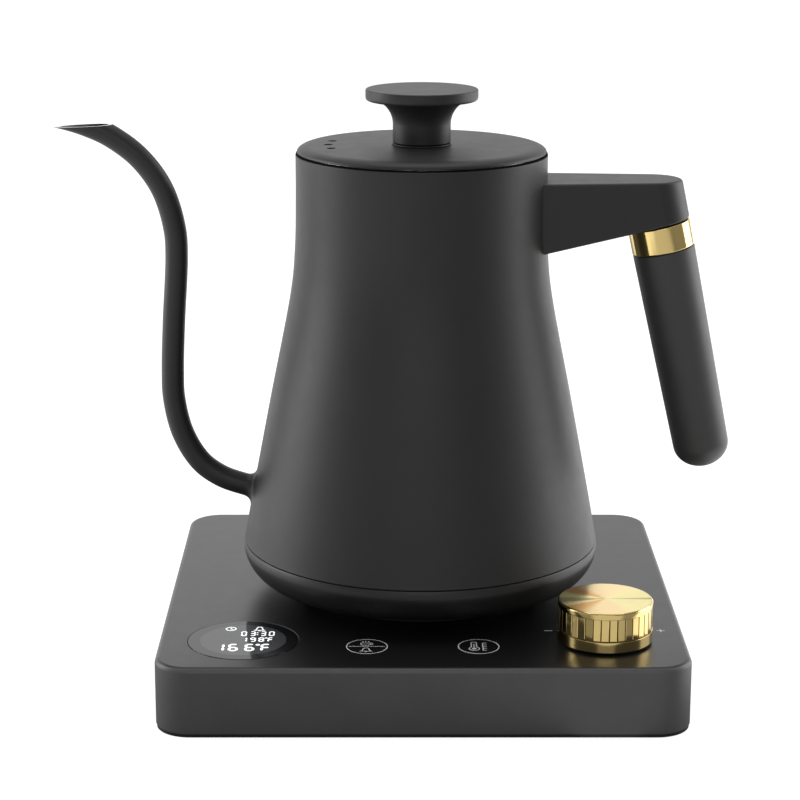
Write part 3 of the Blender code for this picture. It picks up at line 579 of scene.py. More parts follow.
def make_base():
    """The base's cover: an open box with a rounded top edge, and openings for the plug and the controls."""
    shape = bmesh.new()
    skirt = BASE_LOW.z
    lip = 0.5 * MM
    outside = [(lip, skirt), (0.15 * MM, skirt + 0.15 * MM), (0, skirt + lip),
               (0, BASE_TOP - BASE_EDGE - 4 * MM)]
    for x, z in arc((0, 0), (BASE_EDGE, BASE_EDGE), 0, 90, 10):
        outside.append((BASE_EDGE - x, BASE_TOP - BASE_EDGE + z))
    inside = [(BASE_WALL, BASE_TOP - BASE_WALL), (BASE_WALL, skirt + 0.4 * MM), (BASE_WALL - 0.4 * MM, skirt)]
    rings = [base_ring(shape, inset, height) for inset, height in outside]
    hollow = [base_ring(shape, inset, height) for inset, height in inside]
    skin(shape, rings)
    shape.faces.new(rings[-1])
    shape.faces.new(hollow[0])
    skin(shape, hollow)
    join_rings(shape, hollow[-1], rings[0])
    cover = new_object("base_housing", shape, [BASE_PLASTIC_LIT], AXIS)
    bosses = []
    for corner in CORNERS:
        outline = [(4.4 * MM, 25 * MM), (4.4 * MM, 4.7 * MM), (1.8 * MM, 4.7 * MM), (1.8 * MM, 18 * MM),
                   (0, 18 * MM), (0, 25 * MM)]
        bosses.append(lathe("boss", outline, [], foot_of("base_screw_" + corner), 32, False))
    carve(cover, *bosses, operation="UNION")
    seat = LENS_LOW.z - GAP
    gland = middle("cord_gland")
    gland_hole = rod(6.7 * MM, 0, 10 * MM, Vector((gland.x, BASE_HIGH.y + 4 * MM, 14 * MM)))
    gland_hole.rotation_euler = (math.radians(90), 0, 0)
    carve(cover, rod(PLUG_HOLE, 10 * MM, BASE_TOP, AXIS, 0.35 * MM, 96),
          rod(DISPLAY_RADIUS + 0.15 * MM, seat, BASE_TOP, DISPLAY, 0.12 * MM, 128),
          rod(DISPLAY_RADIUS - 2.5 * MM, 10 * MM, 30 * MM, DISPLAY, 0, 96),
          rod(DIAL_HOLE, 10 * MM, 40 * MM, DIAL), gland_hole)
    # Painted shade: the cover's top faces get the far darker copy of its plastic.
    cover.data.materials.append(BASE_TOP_SHADE)
    for face in cover.data.polygons:
        face.material_index = 1 if face.normal.z > 0.8 and face.center.z > BASE_TOP - BASE_EDGE else 0
    even_shading(cover)
    place(cover, "base", "base_shell", "base_cover")


def make_skirt_shadow_band():
    """A thin black band under the cover's skirt, set back a little from its outside: a painted shadow for the
    dark gap under the skirt.
    """
    shape = bmesh.new()
    rings = []
    for inset, height in ((0.35, 1.17), (0.35, 0.2), (0.5, 0.05), (2.35, 0.05), (2.35, 1.17)):
        rings.append(base_ring(shape, inset * MM, height * MM))
    skin(shape, rings, True)
    place(new_object("base_skirt_shadow_band", shape, [BLACK_PLASTIC], AXIS), "base", "black_plastic")


def make_feet():
    for corner in CORNERS:
        node = "foot_" + corner
        low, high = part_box(node)
        radius = (high.x - low.x) / 2
        outline = rounded([(0, high.z, 0), (radius, high.z, 0.3 * MM), (radius, 0, 0.5 * MM),
                           (radius - 2 * MM, 0, 0.2 * MM), (radius - 2.4 * MM, 0.3 * MM, 0.2 * MM),
                           (0, 0.3 * MM, 0)], 4, False)
        foot = lathe("rubber_" + node, outline, [RUBBER], foot_of(node), 64, False)
        place(foot, "base", "rubber", node)


def make_glass():
    """A round pane: black glass outside, with a lighter window in its middle."""
    top, low = LENS_HIGH.z, LENS_LOW.z
    outline = [(0, top), (WINDOW_RADIUS - 0.1 * MM, top), (WINDOW_RADIUS, top)]
    outline += rounded([(WINDOW_RADIUS, top, 0), (DISPLAY_RADIUS, top, 0.25 * MM),
                        (DISPLAY_RADIUS, low, 0.1 * MM), (0, low, 0)], 5, False)[1:]
    pane = lathe("display_pane", outline, [GLASS, WINDOW], DISPLAY, 128, False)
    for face in pane.data.polygons:
        inner = face.center.xy.length < WINDOW_RADIUS and face.normal.z > 0.9
        face.material_index = 1 if inner else 0
    even_shading(pane)
    place(pane, "base", "display_glass", "display_lens")


# Which of the seven segments are lit: top, upper right, lower right, bottom, lower left, upper left, middle
SEGMENTS = {"0": "abcdef", "1": "bc", "3": "abcdg", "6": "acdefg", "8": "abcdefg", "9": "abcdfg", "F": "aefg"}


def seven_segment(shape, digit, left, low, width, height, bar, levels):
    """Adds one seven-segment digit to a bmesh; each bar has pointed ends, and upright ones are thinner."""
    right, high = left + width, low + height
    centre = low + height / 2
    gap = bar * 0.10
    thin, thick = bar * 0.42, bar / 2
    rows = {"a": high - thick, "g": centre, "d": low + thick}
    columns = {"f": (left + thin, centre, high - thick), "b": (right - thin, centre, high - thick),
               "e": (left + thin, low + thick, centre), "c": (right - thin, low + thick, centre)}
    for name in SEGMENTS[digit]:
        if name in rows:
            y, start, end = rows[name], left + thin + gap, right - thin - gap
            loop = [(start, y), (start + thin, y + thick), (end - thin, y + thick), (end, y),
                    (end - thin, y - thick), (start + thin, y - thick)]
        else:
            x, start, end = columns[name]
            start, end = start + gap, end - gap
            loop = [(x, start), (x + thin, start + thick), (x + thin, end - thick), (x, end),
                    (x - thin, end - thick), (x - thin, start + thick)]
        prism(shape, loop, *levels)


def write_row(shape, glyphs, low, height, width, bar, levels):
    """Adds a row of digits; glyphs is a list of (character, left edge in mm)."""
    for character, left in glyphs:
        if character == ":":
            for share in (0.3, 0.7):
                dot = rectangle(bar, bar, bar * 0.2, 2)
                prism(shape, [(x + left * MM, y + low + height * share) for x, y in dot], *levels)
        elif character == "'":
            centre = (left * MM, low + height - bar * 0.8)
            stroke(shape, circle(centre, bar * 0.5, 16), bar * 0.45, *levels, closed=True)
        else:
            seven_segment(shape, character, left * MM, low, width, height, bar, levels)


def make_readout():
    """Timer, set and actual temperature, and two small signs above them."""
    levels = (LENS_HIGH.z - 0.05 * MM, LENS_HIGH.z + 0.02 * MM)
    shape = bmesh.new()
    timer = [("0", -1.1), ("3", 2.1), (":", 4.85), ("3", 5.9), ("0", 9.0)]
    target = [("1", -0.7), ("9", 2.5), ("8", 5.5), ("'", 8.25), ("F", 8.8)]
    reading = [("1", -9.9), ("6", -5.0), ("6", 0.9), ("'", 5.55), ("F", 6.65)]
    write_row(shape, timer, 4.1 * MM, 4.8 * MM, 2.1 * MM, 0.62 * MM, levels)
    write_row(shape, target, -1.98 * MM, 4.5 * MM, 2.1 * MM, 0.7 * MM, levels)
    write_row(shape, reading, -11.6 * MM, 7.4 * MM, 3.6 * MM, 1.15 * MM, levels)
    width = 0.42 * MM
    stroke(shape, circle((-5.1 * MM, 11.6 * MM), 1.8 * MM, 32), width, *levels, closed=True)
    stroke(shape, [(-5.1 * MM, 12.6 * MM), (-5.1 * MM, 11.4 * MM), (-4.2 * MM, 11.0 * MM)], width, *levels)
    bell(shape, Vector((5.4 * MM, 9.6 * MM)), 3.6 * MM, 4.4 * MM, width, levels)
    readout = new_object("display_readout", shape, [DIGITS], DISPLAY)
    place(readout, "base", "display_panel")


def bell(shape, foot, width, height, line, levels):
    """A bell: its outline, and its clapper under it. foot is the middle of its lower edge."""
    half = width / 2
    points = [(-half, 0.12), (-half * 0.62, 0.3), (-half * 0.55, 0.62), (-half * 0.3, 0.88),
              (half * 0.3, 0.88), (half * 0.55, 0.62), (half * 0.62, 0.3), (half, 0.12)]
    outline = [(foot.x + x, foot.y + height * share) for x, share in points]
    stroke(shape, outline, line, *levels, closed=True)
    clapper = foot.y - line * 0.3
    stroke(shape, [(foot.x - half * 0.25, clapper), (foot.x + half * 0.25, clapper)], line, *levels)


def draw_left_sign(shape, line):
    """A steaming cup over a bell, with a line between them."""
    stroke(shape, [(-6.6 * MM, 0.1 * MM), (6.4 * MM, 0.1 * MM)], line * 0.85, *PRINT_LEVELS)
    cup = [(-2.2, 3.6), (-2.2, 2.2), (-1.5, 1.3), (0.6, 1.3), (1.3, 2.2), (1.3, 3.6)]
    stroke(shape, [(x * MM, y * MM) for x, y in cup], line, *PRINT_LEVELS, closed=True)
    stroke(shape, circle((1.4 * MM, 2.7 * MM), 0.75 * MM, 12, -80, 80), line, *PRINT_LEVELS)
    for x in (-1.5, -0.45, 0.6):
        stroke(shape, [(x * MM, 4.4 * MM), (x * MM, 5.5 * MM)], line, *PRINT_LEVELS)
    bell(shape, Vector((-0.3 * MM, -5.3 * MM)), 4.0 * MM, 4.4 * MM, line, PRINT_LEVELS)


def draw_right_sign(shape, line):
    """A thermometer and its scale."""
    stem, bulb_centre, bulb = 0.95 * MM, (-1.65 * MM, -2.2 * MM), 1.85 * MM
    reach = math.degrees(math.acos(stem / bulb))
    thermometer = circle((bulb_centre[0], 3.6 * MM), stem, 12, 0, 180)
    thermometer += circle(bulb_centre, bulb, 28, 180 - reach, 360 + reach)
    stroke(shape, thermometer, line, *PRINT_LEVELS, closed=True)
    prism(shape, circle(bulb_centre, 0.85 * MM, 24), *PRINT_LEVELS)
    stroke(shape, [(bulb_centre[0], -2 * MM), (bulb_centre[0], 2.6 * MM)], line, *PRINT_LEVELS)
    stroke(shape, [(1.5 * MM, -4.0 * MM), (1.5 * MM, 3.6 * MM)], line, *PRINT_LEVELS)
    for number in range(5):
        y = (-3.8 + 1.8 * number) * MM
        stroke(shape, [(1.7 * MM, y), (2.9 * MM, y)], line, *PRINT_LEVELS)


def make_key_marks():
    """Thin printed rings over the touch pads, with a sign in each."""
    line = 0.36 * MM
    for side, draw in (("left", draw_left_sign), ("right", draw_right_sign)):
        shape = bmesh.new()
        stroke(shape, circle((0, 0), KEY_RADIUS - line / 2, 96), line, *PRINT_LEVELS, closed=True)
        draw(shape, line)
        mark = new_object("touch_key_mark_" + side, shape, [PRINT], foot_of("touch_pad_" + side))
        place(mark, "base", "base_shell")


def make_dial_marks():
    """A minus and a plus on either side of the dial."""
    line = 0.45 * MM
    y = 9.5 * MM
    plus, arm = 21.35 * MM, 1.45 * MM
    gap = line / 2 + 0.02 * MM
    shape = bmesh.new()
    stroke(shape, [(-21.4 * MM, y), (-18.3 * MM, y)], line, *PRINT_LEVELS)
    stroke(shape, [(19.9 * MM, y), (22.8 * MM, y)], line, *PRINT_LEVELS)
    stroke(shape, [(plus, y - arm), (plus, y - gap)], line, *PRINT_LEVELS)
    stroke(shape, [(plus, y + gap), (plus, y + arm)], line, *PRINT_LEVELS)
    place(new_object("dial_marks", shape, [PRINT], DIAL), "base", "base_shell")


def make_gland():
    low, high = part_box("cord_gland")
    sleeve, flange, bore, end = 6.4 * MM, 9 * MM, 3.6 * MM, -12 * MM
    flange_back, flange_front = -2.7 * MM, -4.7 * MM
    outline = rounded([(sleeve, 0, 0.4 * MM), (sleeve, flange_back, 0), (flange, flange_back, 0.2 * MM),
                       (flange, flange_front, 0.2 * MM), (sleeve, flange_front, 0), (sleeve, end, 0.4 * MM),
                       (bore, end, 0.4 * MM), (bore, 0, 0.8 * MM)])
    centre = Matrix.Translation((middle("cord_gland").x, high.y, (low.z + high.z) / 2))
    lying = centre @ Matrix.Rotation(math.radians(-90), 4, "X")
    gland = lathe("cord_bush", outline, [BLACK_PLASTIC], lying, 64)
    place(gland, "base", "black_plastic", "cord_gland")


def make_plug():
    """The round connector in the base: a black plug with a pin hole, and a ring slot with a contact ring."""
    low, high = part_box("connector_plug")
    nose, boss, flange, root = 12.4 * MM, 15.8 * MM, 19 * MM, 13.4 * MM
    boss_top, flange_top, flange_low = 27.1 * MM, 23.2 * MM, 20.8 * MM
    outline = rounded([(0, high.z, 0), (nose, high.z, 1.0 * MM), (nose, boss_top, 0.4 * MM),
                       (boss, boss_top, 0.5 * MM), (boss, flange_top, 0), (flange, flange_top, 0.3 * MM),
                       (flange, flange_low, 0.3 * MM), (root, flange_low, 0), (root, low.z, 0.3 * MM),
                       (0, low.z, 0)], 4, False)
    plug = lathe("base_plug", outline, [BLACK_PLASTIC], AXIS, 96, False)
    slot_outer, slot_inner, slot_low, above = 8 * MM, 5.6 * MM, 30 * MM, 45 * MM
    slot = [(slot_outer, above), (slot_outer, slot_low), (slot_inner, slot_low), (slot_inner, above)]
    carve(plug, lathe("cutter", slot, []), rod(2.2 * MM, 28 * MM, high.z, AXIS, 0.3 * MM, 48))
    place(plug, "connector", "black_plastic", "connector_plug")
    contact = rounded([(7.9 * MM, 35.6 * MM, 0.2 * MM), (7.9 * MM, 30.3 * MM, 0.2 * MM),
                       (7.4 * MM, 30.3 * MM, 0.2 * MM), (7.4 * MM, 35.6 * MM, 0.2 * MM)], 3)
    place(lathe("plug_contact_ring", contact, [STEEL_TURNED], AXIS, 96), "connector", "steel")


# ---------------------------------------------------------------- dial

def make_dial():
    """A brass cap: spun top, smooth band, flat facets split by thin grooves, and a smooth lower band."""
    top, low = DIAL_HIGH.z, DIAL_LOW.z
    band = DIAL_RADIUS - 0.2 * MM
    flute_low, flute_high = low + 4.5 * MM, low + 12.5 * MM
    groove_depth, groove_width = 0.32 * MM, 0.24 * MM
    pitch = 2 * math.pi / FLUTE_COUNT

    def facet(radius, height, angle):
        if not flute_low < height < flute_high or radius < 16 * MM:
            return radius
        offset = (angle + pitch / 2) % pitch - pitch / 2
        flat = radius * math.cos(pitch / 2) / math.cos(abs(offset) - pitch / 2)
        groove = max(0.0, 1 - abs(offset) * radius / groove_width)
        return flat - groove_depth * groove

    outline = [(0, top), (15.0 * MM, top)]
    outline += rounded([(15.0 * MM, top, 0), (DIAL_RADIUS - 0.5 * MM, top, 0.15 * MM),
                        (DIAL_RADIUS, top - 0.5 * MM, 0.15 * MM), (DIAL_RADIUS, flute_high, 0.1 * MM),
                        (band, flute_high - 0.15 * MM, 0)], 3, False)[1:]
    outline += [(band, flute_high - 0.3 * MM), (band, flute_low + 0.3 * MM), (band, flute_low + 0.02 * MM)]
    outline += rounded([(band, flute_low, 0), (DIAL_RADIUS - 0.6 * MM, flute_low, 0.1 * MM),
                        (DIAL_RADIUS - 0.6 * MM, flute_low - 0.5 * MM, 0.1 * MM),
                        (DIAL_RADIUS, flute_low - 0.5 * MM, 0.12 * MM), (DIAL_RADIUS, low, 0.3 * MM),
                        (15.2 * MM, low, 0.2 * MM), (15.2 * MM, 39.9 * MM, 0), (0, 39.9 * MM, 0)], 3, False)
    shape = turn(outline, FLUTE_COUNT * 20, False, facet)
    dial = new_object("dial_cap", shape, [BRASS_SIDE, BRASS_TOP, BRASS_GROOVE_SHADE], DIAL, 28)
    for face in dial.data.polygons:
        radius = face.center.xy.length
        if face.center.z > top - 0.05 * MM and face.normal.z > 0.9:
            face.material_index = 1
        # Painted shade: the groove faces between the facets and under them get the dark brass.
        elif 16 * MM < radius < band - 0.16 * MM and low + 1 * MM < face.center.z < flute_high:
            face.material_index = 2
    even_shading(dial)
    place(dial, "dial", "gold", "dial_knob")


# ---------------------------------------------------------------- kettle

def body_outline(offset=0.0, per_span=8):
    """The body's outside from the rim's edge down to the seam, moved inwards by offset."""
    line = smooth_line([(radius * MM, 0, height * MM) for height, radius in BODY_OUTLINE], per_span)
    return [(point.x - offset, point.z) for point in reversed(line)]


FINE_OUTLINE = body_outline(0.0, 24)


def body_radius(height):
    """The body's outer radius at a height."""
    for upper, lower in zip(FINE_OUTLINE, FINE_OUTLINE[1:]):
        if lower[1] <= height <= upper[1]:
            share = (height - lower[1]) / (upper[1] - lower[1])
            return lower[0] + share * (upper[0] - lower[0])
    return FINE_OUTLINE[0][0]


def make_body():
    """The steel body: coated outside, bare inside, painted near-black on top of its rim as the shadow of the
    gap round the lid, with a small edge at the seam.
    """
    neck = FINE_OUTLINE[0][0]
    rim_edge = 0.5 * MM
    outside = arc((neck - rim_edge, RIM - 2 * rim_edge), (rim_edge, 2 * rim_edge), 90, 10, 6)
    *wall, foot = body_outline()
    outside += wall
    outside += [(foot[0] + 0.02 * MM, foot[1] + 0.3 * MM), (foot[0] - 0.12 * MM, foot[1])]
    outline = outside + body_outline(BODY_WALL)[::-1] + [(neck - BODY_WALL, RIM)]
    body = lathe("kettle_body", outline, [COATING, STEEL_BRUSHED, GAP_SHADOW], AXIS, 160)
    for face in body.data.polygons:
        outward = face.normal.xy.dot(face.center.xy.normalized())
        face.material_index = 1 if outward < -0.5 else 0
        # Painted shadow: the rim's upward faces get the near-black gap finish.
        if face.normal.z > 0.2 and face.center.z > RIM - 1 * MM:
            face.material_index = 2
    first_bend = spout_line()[:40]
    carve(body, sweep("cutter", first_bend, [SPOUT_BORE], []))
    place(body, "kettle", "charcoal_coating", "body_shell")


def spout_line(per_span=12):
    route = [(AXIS.x - distance * MM, 0, height * MM) for distance, height in SPOUT_ROUTE]
    return smooth_line(route, per_span)


def across(line, number):
    """The direction square to the line at one of its points, in the spout's plane."""
    along = (line[min(number + 1, len(line) - 1)] - line[max(number - 1, 0)]).normalized()
    return Vector((-along.z, 0, along.x))


def sweep(name, line, radii, materials, segments=48):
    """A bar along a line in the XZ plane, or a pipe where two radii are given."""
    shape = bmesh.new()
    walls = []
    for radius in radii:
        rings = []
        for number, point in enumerate(line):
            normal = across(line, number)
            ring = []
            for step in range(segments):
                angle = 2 * math.pi * step / segments
                offset = normal * math.cos(angle) + Vector((0, math.sin(angle), 0))
                ring.append(shape.verts.new(point + offset * radius))
            rings.append(ring)
        skin(shape, rings)
        walls.append(rings)
    for end in (0, -1):
        if len(walls) == 2:
            join_rings(shape, walls[0][end], walls[1][end])
        else:
            shape.faces.new(walls[0][end])
    return new_object(name, shape, materials)


def make_spout():
    """A thin bent pipe, cut off level at the mouth, with a bare edge there and steel inside painted dark as
    the shade in the bore.
    """
    finishes = [COATING, STEEL_BORE_SHADE, BARE_EDGE]
    spout = sweep("gooseneck_pipe", spout_line(), [SPOUT_RADIUS, SPOUT_BORE], finishes)
    level = (MOUTH_BACK - MOUTH_TIP).cross(Vector((0, 1, 0))).normalized()
    if level.z < 0:
        level = -level
    shape = bmesh.new()
    shape.from_mesh(spout.data)
    bmesh.ops.bisect_plane(shape, geom=shape.verts[:] + shape.edges[:] + shape.faces[:], plane_co=MOUTH_TIP,
                           plane_no=level, clear_outer=True)
    edge = [e for e in shape.edges if e.is_boundary]
    for face in bmesh.ops.bridge_loops(shape, edges=edge)["faces"]:
        face.material_index = 2
    bmesh.ops.recalc_face_normals(shape, faces=shape.faces)
    shape.to_mesh(spout.data)
    shape.free()
    line = spout_line()
    for face in spout.data.polygons:
        # Painted shade: the inner wall gets the dark bore steel.
        if face.material_index == 0:
            near = min(line, key=lambda point: (point - face.center).length_squared)
            outer = (near - face.center).length > (SPOUT_RADIUS + SPOUT_BORE) / 2
            face.material_index = 0 if outer else 1
    spout.data.set_sharp_from_angle(angle=math.radians(35))
    place(spout, "kettle", "charcoal_coating", "spout_tube")


def make_spout_weld():
    """The smooth fillet where the spout leaves the body."""
    line = spout_line(24)
    near_body = 96                       # points of the line that are worth looking at
    width = 3.4 * MM
    segments, steps = 64, 10
    shape = bmesh.new()
    rings = []
    for segment in range(segments):
        angle = 2 * math.pi * segment / segments
        side = Vector((0, math.sin(angle), 0))
        wall = []
        for number, point in enumerate(line[:near_body]):
            offset = across(line, number) * math.cos(angle) + side
            wall.append((point + offset * (SPOUT_RADIUS - 0.03 * MM), offset))
        meet = next(i for i, (point, _) in enumerate(wall)
                    if (point - AXIS).xy.length > body_radius(point.z))
        here, offset = wall[meet]
        start = next(point for point, _ in wall[meet:] if (point - here).length > width)
        end = here + offset * width
        flat = (end - AXIS).xy.normalized() * (body_radius(end.z) - 0.04 * MM)
        end = Vector((AXIS.x + flat.x, flat.y, end.z))
        ring = []
        for step in range(steps + 1):
            t = step / steps
            ring.append(shape.verts.new((1 - t) ** 2 * start + 2 * t * (1 - t) * here + t * t * end))
        rings.append(ring)
    for first, second in zip(rings, rings[1:] + rings[:1]):
        for step in range(steps):
            shape.faces.new((first[step], first[step + 1], second[step + 1], second[step]))
    weld = new_object("spout_weld", shape, [COATING], None, 60)
    thick = weld.modifiers.new("thickness", "SOLIDIFY")
    thick.thickness = 0.3 * MM
    thick.offset = -1
    place(weld, "kettle", "charcoal_coating")


def cover_curve(steps):
    """The rounded outside of the lower cover, from its widest circle down to where it turns level."""
    power = 1.24
    points = []
    for step in range(steps + 1):
        angle = math.radians(72 * step / steps)
        radius = 67.7 * MM - 8.4 * MM * (1 - math.cos(angle) ** power)
        points.append((radius, 42.9 * MM - 10.7 * MM * math.sin(angle) ** power))
    return points


def make_lower_cover():
    low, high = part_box("lower_cover")
    seam_radius = BODY_OUTLINE[0][1] * MM
    foot, wall = 46.0 * MM, 2.0 * MM
    outside = [(seam_radius - 0.12 * MM, high.z), (seam_radius + 0.06 * MM, high.z - 0.3 * MM)]
    outside += cover_curve(24)
    underside = rounded([(*outside[-1], 0), (foot, low.z, 5 * MM), (17 * MM, low.z, 0.5 * MM),
                         (17 * MM, low.z + wall, 0.3 * MM), (foot, low.z + wall, 0)], 6, False)[1:]
    inside = [(57.5 * MM, 34 * MM), (63 * MM, 37.5 * MM), (65.4 * MM, 42.5 * MM), (65.4 * MM, high.z)]
    cover = lathe("lower_shell", outside + underside + inside, [COVER_PLASTIC], AXIS, 160)
    cutters = []
    for number in range(1, 4):
        at = foot_of(f"cover_screw_{number}")
        cutters.append(rod(1.9 * MM, 20 * MM, 35 * MM, at, 0, 32))
        cutters.append(rod(3.4 * MM, 20 * MM, low.z + 1 * MM, at, 0, 48))
    carve(cover, *cutters)
    place(cover, "kettle", "charcoal_plastic", "lower_cover")

    ring_low, ring_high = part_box("kettle_foot_ring")
    outline = rounded([(45 * MM, ring_high.z, 0.2 * MM), (45 * MM, ring_low.z, 0.4 * MM),
                       (40.5 * MM, ring_low.z, 0.4 * MM), (40.5 * MM, ring_high.z, 0.2 * MM)], 4)
    place(lathe("foot_ring", outline, [RUBBER], AXIS, 128), "kettle", "rubber", "kettle_foot_ring")


def make_socket():
    low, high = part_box("connector_socket")
    floor = 29.6 * MM
    outer, flange, bore, bore_top = 16.4 * MM, 20 * MM, 13.2 * MM, 38.4 * MM
    flange_top, flange_low = floor + 2.3 * MM, floor + GAP
    outline = rounded([(0, high.z, 0), (outer, high.z, 0.4 * MM), (outer, flange_top, 0),
                       (flange, flange_top, 0.3 * MM), (flange, flange_low, 0.3 * MM),
                       (outer, flange_low, 0), (outer, low.z, 0.5 * MM), (bore, low.z, 0.6 * MM),
                       (bore, bore_top, 0.3 * MM), (0, bore_top, 0)], 4, False)
    socket = lathe("kettle_socket", outline, [BLACK_PLASTIC], AXIS, 96, False)
    place(socket, "kettle", "black_plastic", "connector_socket")


# ---------------------------------------------------------------- handle

def make_bracket():
    """A wedge with a round end and soft edges, let into the body's wall."""
    root, end_radius, length, height = 15.8 * MM, 11.7 * MM, 50 * MM, 34 * MM
    soft = 1.1 * MM
    outline = [(-length, root), (-length, -root)] + arc((0, 0), (end_radius, end_radius), -84, 84, 40)
    shape = bmesh.new()
    prism(shape, outline, BRACKET_UNDERSIDE, BRACKET_UNDERSIDE + height)
    shape.transform(HANDLE)
    geometry = shape.verts[:] + shape.edges[:] + shape.faces[:]
    bmesh.ops.bisect_plane(shape, geom=geometry, plane_co=(0, 0, BRACKET_TOP), plane_no=(0, 0, 1),
                           clear_outer=True)
    bmesh.ops.holes_fill(shape, edges=[e for e in shape.edges if e.is_boundary], sides=0)
    bmesh.ops.recalc_face_normals(shape, faces=shape.faces)
    edges = [e for e in shape.edges if e.calc_face_angle(0) > math.radians(40)]
    bmesh.ops.bevel(shape, geom=edges, offset=soft, offset_type="OFFSET", segments=5, profile=0.5,
                    affect="EDGES")
    bracket = new_object("handle_bridge", shape, [PLASTIC])
    above = 240 * MM
    neck = [(0, above), (FINE_OUTLINE[0][0] - BODY_WALL / 2, above)] + body_outline(BODY_WALL / 2)
    cutters = [lathe("cutter", neck + [(0, SEAM)], [], AXIS, 128, False)]
    screw_low, screw_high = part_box("bracket_screw")
    at = foot_of("bracket_screw")
    cutters += [rod(1.9 * MM, 150 * MM, screw_high.z + 0.5 * MM, at, 0, 32),
                rod(3.5 * MM, 150 * MM, screw_low.z + 2.2 * MM, at, 0, 48)]
    carve(bracket, *cutters)
    even_shading(bracket)
    place(bracket, "kettle", "charcoal_plastic", "handle_bracket")


def make_handle():
    bore = 2.8 * MM
    outline = rounded([(COLLAR_RADIUS, COLLAR_HALF, 0.35 * MM), (COLLAR_RADIUS, -COLLAR_HALF, 0.35 * MM),
                       (bore, -COLLAR_HALF, 0), (bore, COLLAR_HALF, 0)], 5)
    collar = lathe("brass_collar", outline, [BRASS_SIDE], HANDLE, 160)
    even_shading(collar)
    place(collar, "kettle", "gold", "handle_collar")

    top = -COLLAR_HALF - GAP
    round_part = 9.0 * MM
    tip = arc((0, GRIP_END + round_part), (GRIP_LOW_RADIUS, round_part), 0, -90, 24)
    bore_end = COLLAR_HALF + GAP - 66 * MM
    outline = [(0, bore_end), (bore, bore_end), (bore, top)]
    outline += rounded([(bore, top, 0), (GRIP_TOP_RADIUS, top, 0.6 * MM), tip[0] + (0,)], 6, False)[1:-1]
    for step in range(1, 12):
        share = step / 12
        outline.append((GRIP_TOP_RADIUS + (GRIP_LOW_RADIUS - GRIP_TOP_RADIUS) * share,
                        top + (tip[0][1] - top) * share))
    outline += tip[:-1] + [(0, GRIP_END)]
    grip = lathe("grip_sleeve", outline, [GRIP_PLASTIC], HANDLE, 128, False)
    place(grip, "kettle", "charcoal_plastic", "handle_grip")


# ---------------------------------------------------------------- lid

def vent_cutters(radius, high, chamfer, segments):
    """Three upright cutters for the steam vents, on the spout's side of the lid."""
    cutters = []
    for number in (-1, 0, 1):
        angle = math.pi + number * VENT_STEP
        at = AXIS + Vector((math.cos(angle), math.sin(angle), 0)) * VENT_CIRCLE
        cutters.append(rod(radius, 185 * MM, high, at, chamfer, segments))
    return cutters


def make_lid():
    """A coated disc with a soft edge, slightly domed, with three chamfered steam vents."""
    top, low = LID_HIGH.z, LID_LOW.z
    edge = 4.9 * MM
    dome = 0.25 * MM
    flat = LID_RADIUS - edge
    outline = [(2.4 * MM, top + dome)]
    for step in range(1, 10):
        radius = 2.4 * MM + (flat - 2.4 * MM) * step / 10
        outline.append((radius, top + dome * (1 - (radius / flat) ** 2)))
    outline += arc((flat, low), (edge, top - low), 90, 4, 16)
    outline += [(LID_RADIUS - 0.02 * MM, low + 0.02 * MM), (LID_RADIUS - 0.3 * MM, low), (2.4 * MM, low)]
    lid = lathe("lid_disc", outline, [COATING], AXIS, 192)
    carve(lid, *vent_cutters(VENT_RADIUS, top + 0.15 * MM, 0.25 * MM, 48))
    place(lid, "lid", "charcoal_coating", "lid_plate")


def make_knob():
    top, foot = KNOB_HIGH.z, KNOB_LOW.z
    edge_low = top - 4.2 * MM
    flare = arc((STEM_RADIUS + 8 * MM, edge_low - 9 * MM), (8 * MM, 9 * MM), 90, 180, 20)
    outline = rounded([(0, top, 0), (KNOB_RADIUS, top, 0.7 * MM), (KNOB_RADIUS, edge_low, 1.5 * MM),
                       (*flare[0], 0)], 6, False)
    outline += flare[1:]
    bore, bore_top = 2.3 * MM, 209 * MM
    outline += rounded([(*flare[-1], 0), (STEM_RADIUS, foot, 0.3 * MM), (bore, foot, 0), (bore, bore_top, 0),
                        (0, bore_top, 0)], 3, False)[1:]
    knob = lathe("lid_grip_knob", outline, [COATING], AXIS, 128, False)
    even_shading(knob)
    place(knob, "lid", "charcoal_coating", "lid_knob")


def make_lid_underside():
    """The bright skirt that goes into the neck, its ribbed seal and the washer under the knob."""
    low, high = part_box("lid_skirt")
    radius, wall, hole = 44.2 * MM, 1.2 * MM, 2.4 * MM
    inside, ceiling = radius - wall, high.z - wall
    outline = rounded([(radius, high.z, 0.3 * MM), (radius, low.z, 0.5 * MM), (inside, low.z, 0.5 * MM),
                       (inside, ceiling, 0.8 * MM), (hole, ceiling, 0), (hole, high.z, 0)], 4)
    skirt = lathe("lid_bright_skirt", outline, [STEEL_TURNED], AXIS, 128)
    carve(skirt, *vent_cutters(VENT_RADIUS + GAP, 205 * MM, 0, 32))
    place(skirt, "lid", "steel", "lid_skirt")

    seal_low, seal_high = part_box("lid_seal")
    inner = radius + GAP
    outer = (seal_high.y - seal_low.y) / 2
    height = seal_high.z - seal_low.z
    outline = [(inner, seal_high.z)]
    for rib in range(3):
        for share, reach in ((0.1, 0.55), (0.5, 1.0), (0.9, 0.55)):
            outline.append((inner + (outer - inner) * reach, seal_high.z - height * (rib + share) / 3))
    outline.append((inner, seal_low.z))
    place(lathe("lid_ribbed_seal", outline, [RUBBER], AXIS, 128), "lid", "rubber", "lid_seal")

    washer_low, washer_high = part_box("lid_washer")
    outline = rounded([(11 * MM, washer_high.z, 0.15 * MM), (11 * MM, washer_low.z, 0.15 * MM),
                       (hole, washer_low.z, 0), (hole, washer_high.z, 0)], 3)
    place(lathe("knob_washer", outline, [BLACK_PLASTIC], AXIS, 96), "lid", "black_plastic", "lid_washer")


# ---------------------------------------------------------------- studio

